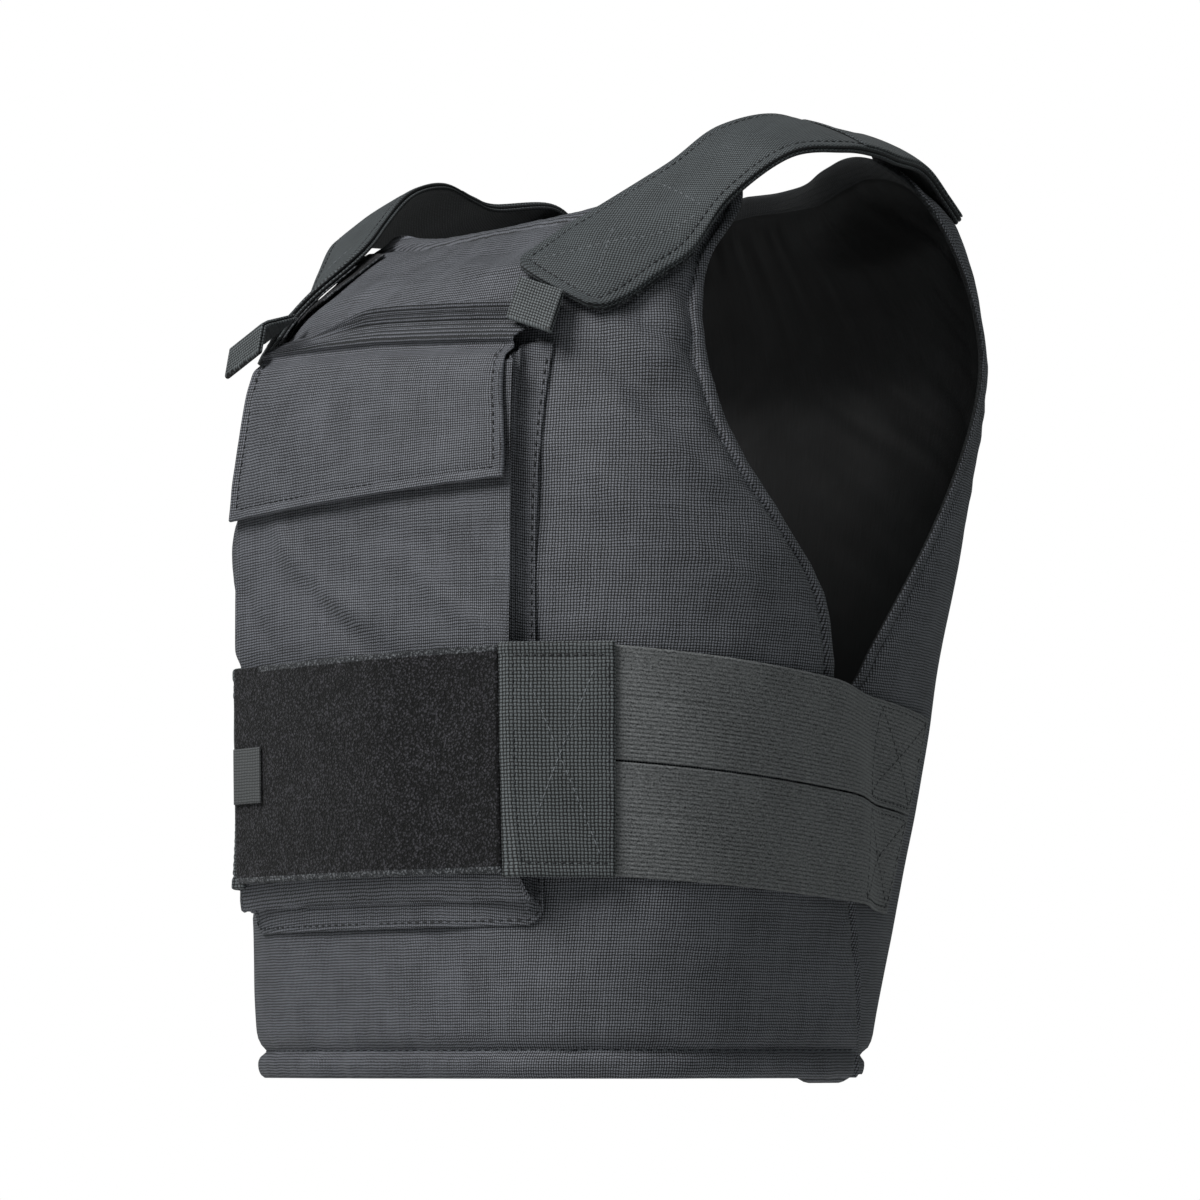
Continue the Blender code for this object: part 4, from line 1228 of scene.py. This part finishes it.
def pocket_sheet():
    """Bellows pocket, open at the top: sewn flange, pleated gusset and front face in one sheet."""
    shares = np.linspace(0.985, -0.985, 62)
    rise = BOTTOM_PLEATS + [(height, height, 1.0) for height in np.linspace(80.0, POCKET_TOP - 3.0, 76)]
    rise += [(POCKET_FLANGE_TOP, POCKET_TOP, 1.0)]
    sides = len(SIDE_PLEATS)
    across = 2 * sides + len(shares) - 1
    along = len(rise) - 1
    bm = bmesh.new()
    bmesh.ops.create_grid(bm, x_segments=across, y_segments=along, size=0.5)
    corner_x = POCKET_FLANGE_HALF - FLANGE_CORNER
    corner_z = POCKET_FLANGE_BOTTOM + FLANGE_CORNER
    for vert in bm.verts:
        column = round((vert.co.x + 0.5) * across)
        flat_z, raised_z, rise_lift = rise[round((vert.co.y + 0.5) * along)]
        if sides <= column < sides + len(shares):
            share = shares[column - sides]
            flat_x = share * SIDE_PLEATS[-1][0]
            raised_x = share * pocket_half(raised_z)
            side_lift = 1.0
        else:
            sign = 1.0 if column < sides else -1.0
            flat_x, tuck, side_lift = SIDE_PLEATS[column if sign > 0.0 else across - column]
            raised_x = sign * (flat_x if tuck is None else pocket_half(raised_z) - tuck)
            flat_x *= sign
        x = mix(flat_x, raised_x, rise_lift)
        height = mix(flat_z, raised_z, side_lift)
        lift = min(side_lift, rise_lift)
        gap_x = abs(x) - corner_x
        gap_z = corner_z - height
        if gap_x > 0.0 and gap_z > 0.0 and lift < 0.2:
            shrink = max(gap_x, gap_z) / math.hypot(gap_x, gap_z)
            x = math.copysign(corner_x + gap_x * shrink, x)
            height = corner_z - gap_z * shrink
        wander = 0.7 * float(noise(height / 17.0, 3.0 * side_lift, 52)) * (1.0 - abs(2.0 * side_lift - 1.0))
        height += top_tilt(x) * smoothstep((height - TILT_START) / (POCKET_TOP - TILT_START))
        seated = face_y(x, height) - SEAT_GAP - POCKET_WALL
        front = pocket_face(x, height)[1]
        x = mix(x, float(pinched(x, height)), lift)
        vert.co = Vector((x - math.copysign(wander, x), mix(seated, front, lift), height))
    bmesh.ops.recalc_face_normals(bm, faces=bm.faces[:])
    foremost = min(bm.faces, key=lambda face: face.calc_center_median().y)
    if foremost.normal.y > 0.0:
        bmesh.ops.reverse_faces(bm, faces=bm.faces[:])
    uv = bm.loops.layers.uv.new("flat_cut")
    for face in bm.faces:
        for loop in face.loops:
            place = loop.vert.co
            loop[uv].uv = ((place.x + 0.7 * place.y) * MM, (place.z + 0.3 * place.y) * MM)
    bmesh.ops.translate(bm, verts=bm.verts[:], vec=(0.0, 0.0, HEM_Z))
    bmesh.ops.scale(bm, verts=bm.verts[:], vec=(MM, MM, MM))
    return stored_mesh(bm, "plate_pocket_cloth")


def make_pocket():
    """Plate pocket with its cloth wall and the stitches of its flange."""
    mesh = pocket_sheet()
    mesh.materials.append(oxford_cloth())
    pocket = finish_piece("plate_pocket_cloth", mesh, 70.0)
    wall = pocket.modifiers.new("cloth_wall", "SOLIDIFY")
    wall.thickness = POCKET_WALL * MM
    wall.offset = -1.0
    smooth = pocket.modifiers.new("rounded_folds", "SUBSURF")
    smooth.levels = 1
    smooth.render_levels = 1
    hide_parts("plate_pocket")

    corner_x = POCKET_FLANGE_HALF - FLANGE_CORNER
    corner_z = POCKET_FLANGE_BOTTOM + FLANGE_CORNER
    radius = FLANGE_CORNER - FLANGE_STITCH_INSET
    turn = np.radians(np.linspace(0.0, 90.0, 14))
    corner = np.stack([corner_x + radius * np.cos(turn), corner_z - radius * np.sin(turn)], axis=-1)
    side = level_line(318.0, corner_z, POCKET_FLANGE_HALF - FLANGE_STITCH_INSET)[:, ::-1]
    half = np.concatenate([side, corner, [(0.0, POCKET_FLANGE_BOTTOM + FLANGE_STITCH_INSET)]])
    stitching("pocket_flange_stitching", flange_face, [half, half * (-1.0, 1.0)], dark_thread(), seat=0.1)


def make_flap():
    """Pocket flap with a corded hinge band, its cord grooves painted dark as shade, a thick rim and a stitch
    row.
    """
    columns = spaced(-1.0, 1.0, 0.03, (0.006, 0.014, 0.028, 0.042, 0.06))
    rows = np.concatenate([spaced(FLAP_BOTTOM, FLAP_CREASE - 6.0, 1.9, (0.5, 1.2, 2.2, 3.4, 4.6)),
                           np.arange(FLAP_CREASE - 5.6, FLAP_TOP - 0.2, 0.38), [FLAP_TOP]])

    def relief(share, height):
        side = (1.0 - np.abs(share)) * FLAP_HALF_BOTTOM
        edge = np.minimum(side, height - FLAP_BOTTOM)
        hanging = smoothstep((FLAP_CREASE - height) / 4.0)
        rim = 0.9 * np.exp(-(edge / 2.0) ** 2)
        seam = -0.8 * np.exp(-((edge - FLAP_STITCH_INSET) / 0.9) ** 2)
        hinge = window(height, FLAP_CREASE + 0.5, FLAP_TOP - 0.8, 1.5, 1.0)
        ribs = 0.5 * hinge * np.sin(2.0 * np.pi * height / CORD_PITCH)
        crease = -1.5 * np.exp(-((height - FLAP_CREASE + 1.2) / 1.2) ** 2)
        hollow = -1.3 * np.exp(-((height - FLAP_CREASE + 9.0) / 6.0) ** 2)
        wave = 0.6 * noise(share * 4.0, height / 22.0, 61) + 0.25 * noise(share * 9.0, height / 9.0, 62)
        return hanging * (rim + seam + wave) + ribs + crease + hollow

    # faces in the cord grooves get the dark twill: painted shade between the cords
    def painted_groove_shade(share, height, slots):
        cords = (height > FLAP_CREASE + 1.0) & (height < FLAP_TOP - 1.0)
        return np.where(cords & (np.sin(2.0 * np.pi * height / CORD_PITCH) < -0.4), 1, 0)

    # the second material paints the shade in the hinge band's cord grooves
    flap = soft_sheet("pocket_flap_cloth", columns, rows, flap_face, FLAP_THICKNESS,
                      [oxford_cloth(), twill_and_groove_shade()], relief=relief, zone=painted_groove_shade, sharp=60.0)
    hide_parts("pocket_flap")
    side_at = 1.0 - FLAP_STITCH_INSET / FLAP_HALF_BOTTOM
    low_at = FLAP_BOTTOM + FLAP_STITCH_INSET
    side = level_line(FLAP_CREASE - 4.0, low_at, side_at, 30)[:, ::-1]
    low = level_line(side_at, -side_at, low_at)
    hinge = level_line(0.97, -0.97, FLAP_TOP - 1.6, 40)
    stitching("pocket_flap_stitching", flap_face, [side, low, side[::-1] * (-1.0, 1.0), hinge],
              dark_thread(), length=2.8, pitch=3.9, seat=FLAP_THICKNESS - 0.35)


def make_closures():
    """Loop-faced closure flaps over the pocket, and the end tab of the left one."""
    heights = spaced(PATCH_BOTTOM + 2.0, PATCH_TOP - 1.0, 2.0, (0.4, 1.0, 1.8, 2.6))

    def fuzz(across, height):
        return 0.16 * noise(across / 1.1, height / 1.1, 71)

    def edged(across, height, slots):
        rim = np.minimum(height - heights[0], heights[-1] - height) < 2.2
        return np.where(rim & ((across > -62.0) | (height < TAB_CENTRE)), 1, 0)

    for name, surface, start, end in (
            ("closure_flap_left", closure_face, CLOSURE_LEFT_END, PATCH_INNER_X - 0.5),
            ("closure_flap_right", under_face, -PATCH_INNER_X + 0.5, CLOSURE_RIGHT_END)):
        columns = spaced(start, end, 2.0, (0.4, 1.0, 1.8))
        flap = soft_sheet(name + "_pile", columns, heights, surface, CLOSURE_THICKNESS,
                          [pile(), selvedge()], relief=fuzz, zone=edged)
        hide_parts(name)
    start = CLOSURE_LEFT_END + 1.6
    columns = spaced(start, start + TAB_LENGTH, 1.5, (0.3, 0.8))
    rows = spaced(TAB_CENTRE - TAB_HALF_HEIGHT, TAB_CENTRE + TAB_HALF_HEIGHT, 1.5, (0.3, 0.8))
    tab = soft_sheet("closure_end_tab_webbing", columns, rows, closure_face, TAB_THICKNESS, [tab_webbing()],
                     seat=CLOSURE_THICKNESS + 0.5)
    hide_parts("closure_end_tab")


def box_sides(left, right, low, high):
    """Four straight lines round a box."""
    corners = [(left, low), (left, high), (right, high), (right, low), (left, low)]
    return [corners[at:at + 2] for at in range(4)]


def make_patches():
    """Webbing patches between the closures and the side bands, with their seams."""
    shares = np.concatenate([np.linspace(0.0, 0.3, 16), np.linspace(0.32, 0.94, 30),
                             [0.955, 0.97, 0.98, 0.99, 1.0]])
    heights = spaced(PATCH_BOTTOM, PATCH_TOP, 1.6, (0.4, 1.0, 2.0, 3.2, 4.4))

    def relief(share, height):
        end = np.minimum(height - PATCH_BOTTOM, PATCH_TOP - height)
        hem = 0.35 * smoothstep((6.0 - end) / 1.2) - 0.3 * np.exp(-((end - 6.2) / 0.8) ** 2)
        fold = -0.3 * np.exp(-((share - PATCH_SEAM_SHARE) / 0.012) ** 2)
        wave = 0.22 * noise(share * 5.0, height / 14.0, 81)
        return hem + fold + wave

    left = soft_sheet("webbing_patch_left_weave", shares, heights, patch_face, PATCH_THICKNESS,
                      [patch_webbing()], relief=relief, sharp=60.0)
    right = mirrored(left, "webbing_patch_right_weave")
    tuck_in(right)
    for patch, node in ((left, "webbing_patch_left"), (right, "webbing_patch_right")):
        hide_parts(node)
    low, high = PATCH_BOTTOM + PATCH_SEAM_INSET, PATCH_TOP - PATCH_SEAM_INSET
    crosses = [[(0.30, high - 4.0), (0.88, low + 3.0)], [(0.84, high - 6.0), (0.34, low + 14.0)]]
    seams = stitching("webbing_patch_left_seams", patch_face, box_sides(PATCH_SEAM_SHARE, 0.95, low, high),
                      dark_thread(), length=2.6, pitch=3.6, seat=PATCH_THICKNESS - 0.15)
    cross = stitching("webbing_patch_left_cross", patch_face, crosses, grey_thread(), length=CROSS_LENGTH,
                      pitch=CROSS_PITCH, seat=PATCH_THICKNESS + 0.05, width=CROSS_WIDTH)
    tuck_in(mirrored(seams, "webbing_patch_right_seams"))
    tuck_in(mirrored(cross, "webbing_patch_right_cross"))


def make_bands():
    """Ribbed elastic side bands, two a side, with the seams that hold them behind."""
    angles = spaced(BAND_START_ANGLE, BAND_END_ANGLE, 0.95, (0.2, 0.5))
    half_gap = 0.5 * BAND_SEAM_GAP / (BAND_TOP_FRONT - BAND_LOW_FRONT)
    # level, lower share, upper share, strength of the bend over the panel's edge
    levels = (("lower", 0.0, 0.5 - half_gap, 1.0), ("upper", 0.5 + half_gap, 1.0, 0.3))
    for level, low, high, bend in levels:
        def relief(angle, share, low=low, high=high, bend=bend):
            rise = (share - low) / (high - low) * BAND_WIDTH
            ribs = 0.09 * np.sin(2.0 * np.pi * rise / RIB_PITCH)
            groove = -0.35 * np.exp(-((rise - BAND_SEAM_RISE) / 1.1) ** 2)
            kink = -0.5 * bend * np.exp(-((angle - BAND_KINK_ANGLE) / 1.1) ** 2)
            wave = 0.15 * noise(angle / 9.0, rise / 25.0, 91)
            return ribs + groove + kink + wave

        node = "side_elastic_" + level
        left = soft_sheet(node + "_left_knit", angles, spaced(low, high, 0.0042, (0.002, 0.005)), band_face,
                          BAND_THICKNESS, [elastic_knit()], relief=relief, sharp=75.0)
        right = mirrored(left, node + "_right_knit")
        press_in(right)
        for band, side in ((left, "_left"), (right, "_right")):
            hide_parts(node + side)
    start, end = BAND_END_ANGLE - 17.5, BAND_END_ANGLE - 1.2
    lines = []
    for low, high in ((0.03, 0.47), (0.53, 0.97)):
        lines += box_sides(start, end, low, high)
        lines += [[(start, low), (end, high)], [(start, high), (end, low)]]
    seams = stitching("side_elastic_left_seams", band_face, lines, dark_thread(), length=2.8, pitch=3.8,
                      seat=BAND_THICKNESS)
    mirrored(seams, "side_elastic_right_seams")


def strap_ply(inset, gather=0.0):
    """Surface of one ply of a strap: its corners rounded, both edges drawn in by an inset.

    The gather draws the ply's inner edge outwards on the chest, as a share of its width.
    """
    def surface(share, position, out=0.0):
        end_gap = np.minimum(position, STRAP_LAST - position)
        pull = 0.10 * (1.0 - np.minimum(1.0, end_gap / 0.35)) ** 2
        share = mix(mix(share, 0.5, 2.0 * pull), 0.5, inset)
        share = mix(share, 1.0, gather * (1.0 - smoothstep((position - 1.4) / 2.4)))
        return strap_face(share, position, out)
    return surface


def strap_relief(share, position):
    """Seam groove round the strap's top ply and its soft unevenness."""
    edge = np.minimum(share, 1.0 - share) * STRAP_WIDTH
    end = np.minimum(position, STRAP_LAST - position) * STATION_LENGTH
    seam = -0.4 * np.exp(-((np.minimum(edge, end) - 4.8) / 0.9) ** 2)
    return seam + 0.28 * noise(share * 4.0, position * 1.7, 101)


def tape_fuzz(share, position):
    """Fuzz of the hook tape under the strap's end."""
    return 0.1 * noise(share * 50.0, position * 15.0, 102)


def make_straps():
    """Shoulder straps of three plies with hook tape, box stitches and crosses."""
    shares = spaced(0.0, 1.0, 0.026, (0.008, 0.02, 0.035, 0.06, 0.09, 0.11))
    positions = spaced(0.0, float(STRAP_LAST), 0.085, (0.02, 0.05, 0.09, 0.14, 0.2, 0.27, 0.34))
    rear = spaced(6.6, STRAP_LAST - 0.15, 0.1, (0.03, 0.08))
    left, right, low, high = 0.09, 0.91, 0.3, STRAP_LAST - 0.3
    ring = [[(left, high), (left, low)], [(left, low), (right, low)], [(right, low), (right, high)]]
    cross = [[(0.14, 0.35), (0.86, 3.6)], [(0.86, 0.35), (0.14, 3.6)], [(0.12, 3.65), (0.88, 3.65)]]
    plies = [strap_cloth(), twill_and_groove_shade()]
    for name, gather in (("shoulder_strap_left", 0.0), ("shoulder_strap_right", STRAP_GATHER)):
        top = strap_ply(TOP_PLY_INSET, gather)
        cloths = [
            soft_sheet(name + "_cloth", shares, positions, top, TOP_PLY_THICKNESS, plies,
                       seat=TOP_PLY_SEAT, relief=strap_relief, sharp=60.0),
            soft_sheet(name + "_underply", shares, positions, strap_ply(0.0, gather), UNDERPLY_THICKNESS,
                       plies, sharp=60.0),
            soft_sheet(name + "_rear_ply", spaced(0.0, 1.0, 0.05, (0.008, 0.02)), rear,
                       strap_ply(0.05, gather), REAR_PLY_THICKNESS, [strap_cloth()], seat=REAR_PLY_SEAT),
            soft_sheet(name + "_hook_tape", spaced(0.0, 1.0, 0.05, (0.01, 0.03)),
                       spaced(0.12, 3.0, 0.1, (0.02, 0.05)), strap_ply(-0.025, gather), HOOK_TAPE_THICKNESS,
                       [selvedge()], seat=HOOK_TAPE_SEAT, relief=tape_fuzz)]
        seams = [
            stitching(name + "_stitching", top, ring, dark_thread(), length=2.8, pitch=3.9, seat=3.72),
            stitching(name + "_cross", top, cross, grey_thread(), length=CROSS_LENGTH, pitch=CROSS_PITCH,
                      seat=3.8, width=CROSS_WIDTH)]
        if name.endswith("right"):
            for piece in cloths + seams:
                to_right_side(piece.data)
        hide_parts(name)


def folded_tab(first, second, elbow, start, end):
    """Surface of webbing that runs down from the strap, turns round and comes back: stage 0 to 3."""
    first, second = np.array(first), np.array(second)
    root = strap_face(0.42, 0.02, 1.0)
    turn_at = end - PULL_TAB_FOLD

    def surface(share, stage, out=0.0):
        share, stage, out = np.broadcast_arrays(np.asarray(share, float), stage, out)
        half = math.pi * np.clip(stage - 1.0, 0.0, 1.0)
        down = mix(start, turn_at, np.clip(stage, 0.0, 1.0))
        back = mix(turn_at, start, np.clip(stage - 2.0, 0.0, 1.0))
        radius = PULL_TAB_FOLD - out
        run = np.where(stage <= 1.0, down, back) + radius * np.sin(half)
        height = PULL_TAB_FOLD + radius * np.cos(half)
        bend = smoothstep((run - elbow + 3.0) / 6.0)[..., None]
        path = first * np.minimum(run, elbow)[..., None] + second * np.maximum(0.0, run - elbow)[..., None]
        lift = unit(np.cross((1.0, 0.06, -0.36), mix(first, second, bend)))
        slide = share[..., None] * np.array((PULL_TAB_WIDTH, 1.5, -9.0))
        return root + slide + path - lift * height[..., None]
    return surface


def make_pull_tabs():
    """Folded webbing tab at the chest end of each strap."""
    loop = np.concatenate([np.linspace(0.0, 1.0, 14), np.linspace(1.08, 1.92, 9), np.linspace(2.0, 3.0, 14)])

    def ribs(share, stage):
        return 0.12 * np.sin(2.0 * np.pi * share * PULL_TAB_WIDTH / PULL_TAB_RIB)

    for name, first, second, elbow, start, end in PULL_TABS:
        tab = soft_sheet(name + "_webbing", spaced(-0.5, 0.5, 0.022, (0.006, 0.015)), loop,
                         folded_tab(first, second, elbow, start, end), PULL_TAB_THICKNESS,
                         [patch_webbing()], relief=ribs, sharp=60.0)
        if name.endswith("right"):
            to_right_side(tab.data)
        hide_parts(name)


def make_loop_fields():
    """Loop tape on the front panel under each strap's end."""
    def surface(share, climb, out=0.0):
        low, high = ([mix(*ends, share) for ends in row] for row in (LOOP_FIELD_LOW, LOOP_FIELD_HIGH))
        height = mix(low[0], high[0], climb)
        angle = mix(low[1], high[1], climb)
        seat = curve(FRONT_SEAM, front_gaps(angle, height)[0])
        return torso_points(FRONT_SECTIONS, angle, height, seat + LOOP_FIELD_GAP + out)

    def fuzz(share, climb):
        return 0.12 * noise(share * 45.0, climb * 40.0, 111)

    def edged(share, climb, slots):
        return np.where(np.minimum(share, 1.0 - share) < 0.03, 1, 0)

    lines = spaced(0.0, 1.0, 0.035, (0.01, 0.03, 0.06))
    left = soft_sheet("shoulder_loop_field_left_pile", lines, lines, surface, 1.0, [pile(), selvedge()],
                      relief=fuzz, zone=edged)
    right = mirrored(left, "shoulder_loop_field_right_pile")
    for field, node in ((left, "shoulder_loop_field_left"), (right, "shoulder_loop_field_right")):
        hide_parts(node)


# Stage

def aimed(item, azimuth, elevation, distance):
    """Place a lamp or camera at a distance from the middle of the vest, and turn it there."""
    turn, rise = math.radians(azimuth), math.radians(elevation)
    away = Vector((math.sin(turn) * math.cos(rise), -math.cos(turn) * math.cos(rise), math.sin(rise)))
    item.location = AIM + away * distance
    item.rotation_mode = "QUATERNION"
    item.rotation_quaternion = away.to_track_quat("Z", "Y")
    bpy.context.scene.collection.objects.link(item)


def make_floor(drop):
    """Pale round floor, at a drop below the hem in metres."""
    bm = bmesh.new()
    bmesh.ops.create_circle(bm, cap_ends=True, segments=96, radius=FLOOR_RADIUS)
    bmesh.ops.translate(bm, verts=bm.verts[:], vec=(0.0, 0.0, HEM_Z * MM - drop))
    mesh = stored_mesh(bm, "studio_floor")
    mesh.materials.append(studio_paper())
    floor = bpy.data.objects.new("studio_floor", mesh)
    bpy.context.scene.collection.objects.link(floor)


def make_surround(strength):
    """Even pale light all round, with a white backdrop behind the vest."""
    world = bpy.data.worlds.new("studio_surround")
    world.use_nodes = True
    tree = world.node_tree
    surround = tree.nodes["Background"]
    surround.inputs["Color"].default_value = linear("#e6f4f2")
    surround.inputs["Strength"].default_value = strength
    backdrop = add_node(tree, "ShaderNodeBackground", {"Color": (1.0, 1.0, 1.0, 1.0), "Strength": 1.0})
    seen = add_node(tree, "ShaderNodeLightPath").outputs["Is Camera Ray"]
    blend = add_node(tree, "ShaderNodeMixShader", {0: seen, 1: surround.outputs[0], 2: backdrop.outputs[0]})
    tree.links.new(blend.outputs[0], tree.nodes["World Output"].inputs[0])
    bpy.context.scene.world = world


def make_stage(settings):
    """Floor, surround, softboxes and camera."""
    make_floor(settings.floor_drop)
    make_surround(settings.surround_light)
    for name, power, azimuth, elevation, distance, size in SOFTBOXES:
        light = bpy.data.lights.new(name, "AREA")
        light.shape = "SQUARE"
        light.size = size
        light.energy = getattr(settings, power)
        aimed(bpy.data.objects.new(name, light), azimuth, elevation, distance)

    lens = bpy.data.cameras.new("studio_camera")
    lens.lens = CAMERA_LENS
    lens.sensor_width = SENSOR_WIDTH
    lens.clip_end = 50.0
    camera = bpy.data.objects.new("studio_camera", lens)
    aimed(camera, CAMERA_AZIMUTH, CAMERA_ELEVATION, CAMERA_DISTANCE)
    bpy.context.scene.camera = camera
    bpy.context.scene.view_settings.view_transform = "Standard"


# Add-on

class VestStageSettings(bpy.types.PropertyGroup):
    """Studio sizes and light levels."""
    floor_drop: bpy.props.FloatProperty(
        name="Floor drop", description="Height of the hem above the floor",
        default=0.55, min=0.0, unit="LENGTH")
    surround_light: bpy.props.FloatProperty(
        name="Surround light", description="Strength of the even light all round",
        default=0.13, min=0.0)
    key_power: bpy.props.FloatProperty(
        name="Key power", description="Power of the softbox above the front",
        default=62.0, min=0.0, unit="POWER")
    fill_power: bpy.props.FloatProperty(
        name="Fill power", description="Power of the softbox on the wearer's left side",
        default=12.0, min=0.0, unit="POWER")
    rim_power: bpy.props.FloatProperty(
        name="Rim power", description="Power of the softbox behind the back panel",
        default=4.0, min=0.0, unit="POWER")


class VEST_OT_panels(bpy.types.Operator):
    """Make the padded front and back panels with their linings and seams."""
    bl_idname = "vest.panels"
    bl_label = "Front and Back Panels"

    def execute(self, context):
        make_front_panel()
        make_back_panel()
        return {"FINISHED"}


class VEST_OT_pocket(bpy.types.Operator):
    """Make the bellows plate pocket and its flap."""
    bl_idname = "vest.pocket"
    bl_label = "Plate Pocket and Flap"

    def execute(self, context):
        make_pocket()
        make_flap()
        return {"FINISHED"}


class VEST_OT_closures(bpy.types.Operator):
    """Make the loop-faced closure flaps, webbing patches and side elastic."""
    bl_idname = "vest.closures"
    bl_label = "Side Closures"

    def execute(self, context):
        make_closures()
        make_patches()
        make_bands()
        return {"FINISHED"}


class VEST_OT_straps(bpy.types.Operator):
    """Make the shoulder straps, pull tabs and loop fields."""
    bl_idname = "vest.straps"
    bl_label = "Shoulder Straps"

    def execute(self, context):
        make_straps()
        make_pull_tabs()
        make_loop_fields()
        return {"FINISHED"}


class VEST_OT_stage(bpy.types.Operator):
    """Set up the pale floor, soft studio light and camera."""
    bl_idname = "vest.stage"
    bl_label = "Studio Stage"

    def execute(self, context):
        make_stage(context.scene.vest_stage)
        return {"FINISHED"}


OPERATORS = (VEST_OT_panels, VEST_OT_pocket, VEST_OT_closures, VEST_OT_straps, VEST_OT_stage)


class VEST_PT_looks(bpy.types.Panel):
    """Lists the steps that dress the vest."""
    bl_label = "Vest Looks"
    bl_idname = "VEST_PT_looks"
    bl_space_type = "VIEW_3D"
    bl_region_type = "UI"
    bl_category = "Vest"

    def draw(self, context):
        for operator in OPERATORS:
            self.layout.operator(operator.bl_idname)
        stage = context.scene.vest_stage
        for name in VestStageSettings.__annotations__:
            self.layout.prop(stage, name)


CLASSES = (VestStageSettings,) + OPERATORS + (VEST_PT_looks,)


def register():
    for item in CLASSES:
        bpy.utils.register_class(item)
    bpy.types.Scene.vest_stage = bpy.props.PointerProperty(type=VestStageSettings)


def unregister():
    del bpy.types.Scene.vest_stage
    for item in reversed(CLASSES):
        bpy.utils.unregister_class(item)


def main():
    register()
    bpy.ops.vest.panels()
    bpy.ops.vest.pocket()
    bpy.ops.vest.closures()
    bpy.ops.vest.straps()
    bpy.ops.vest.stage()


if __name__ == "__main__":
    main()
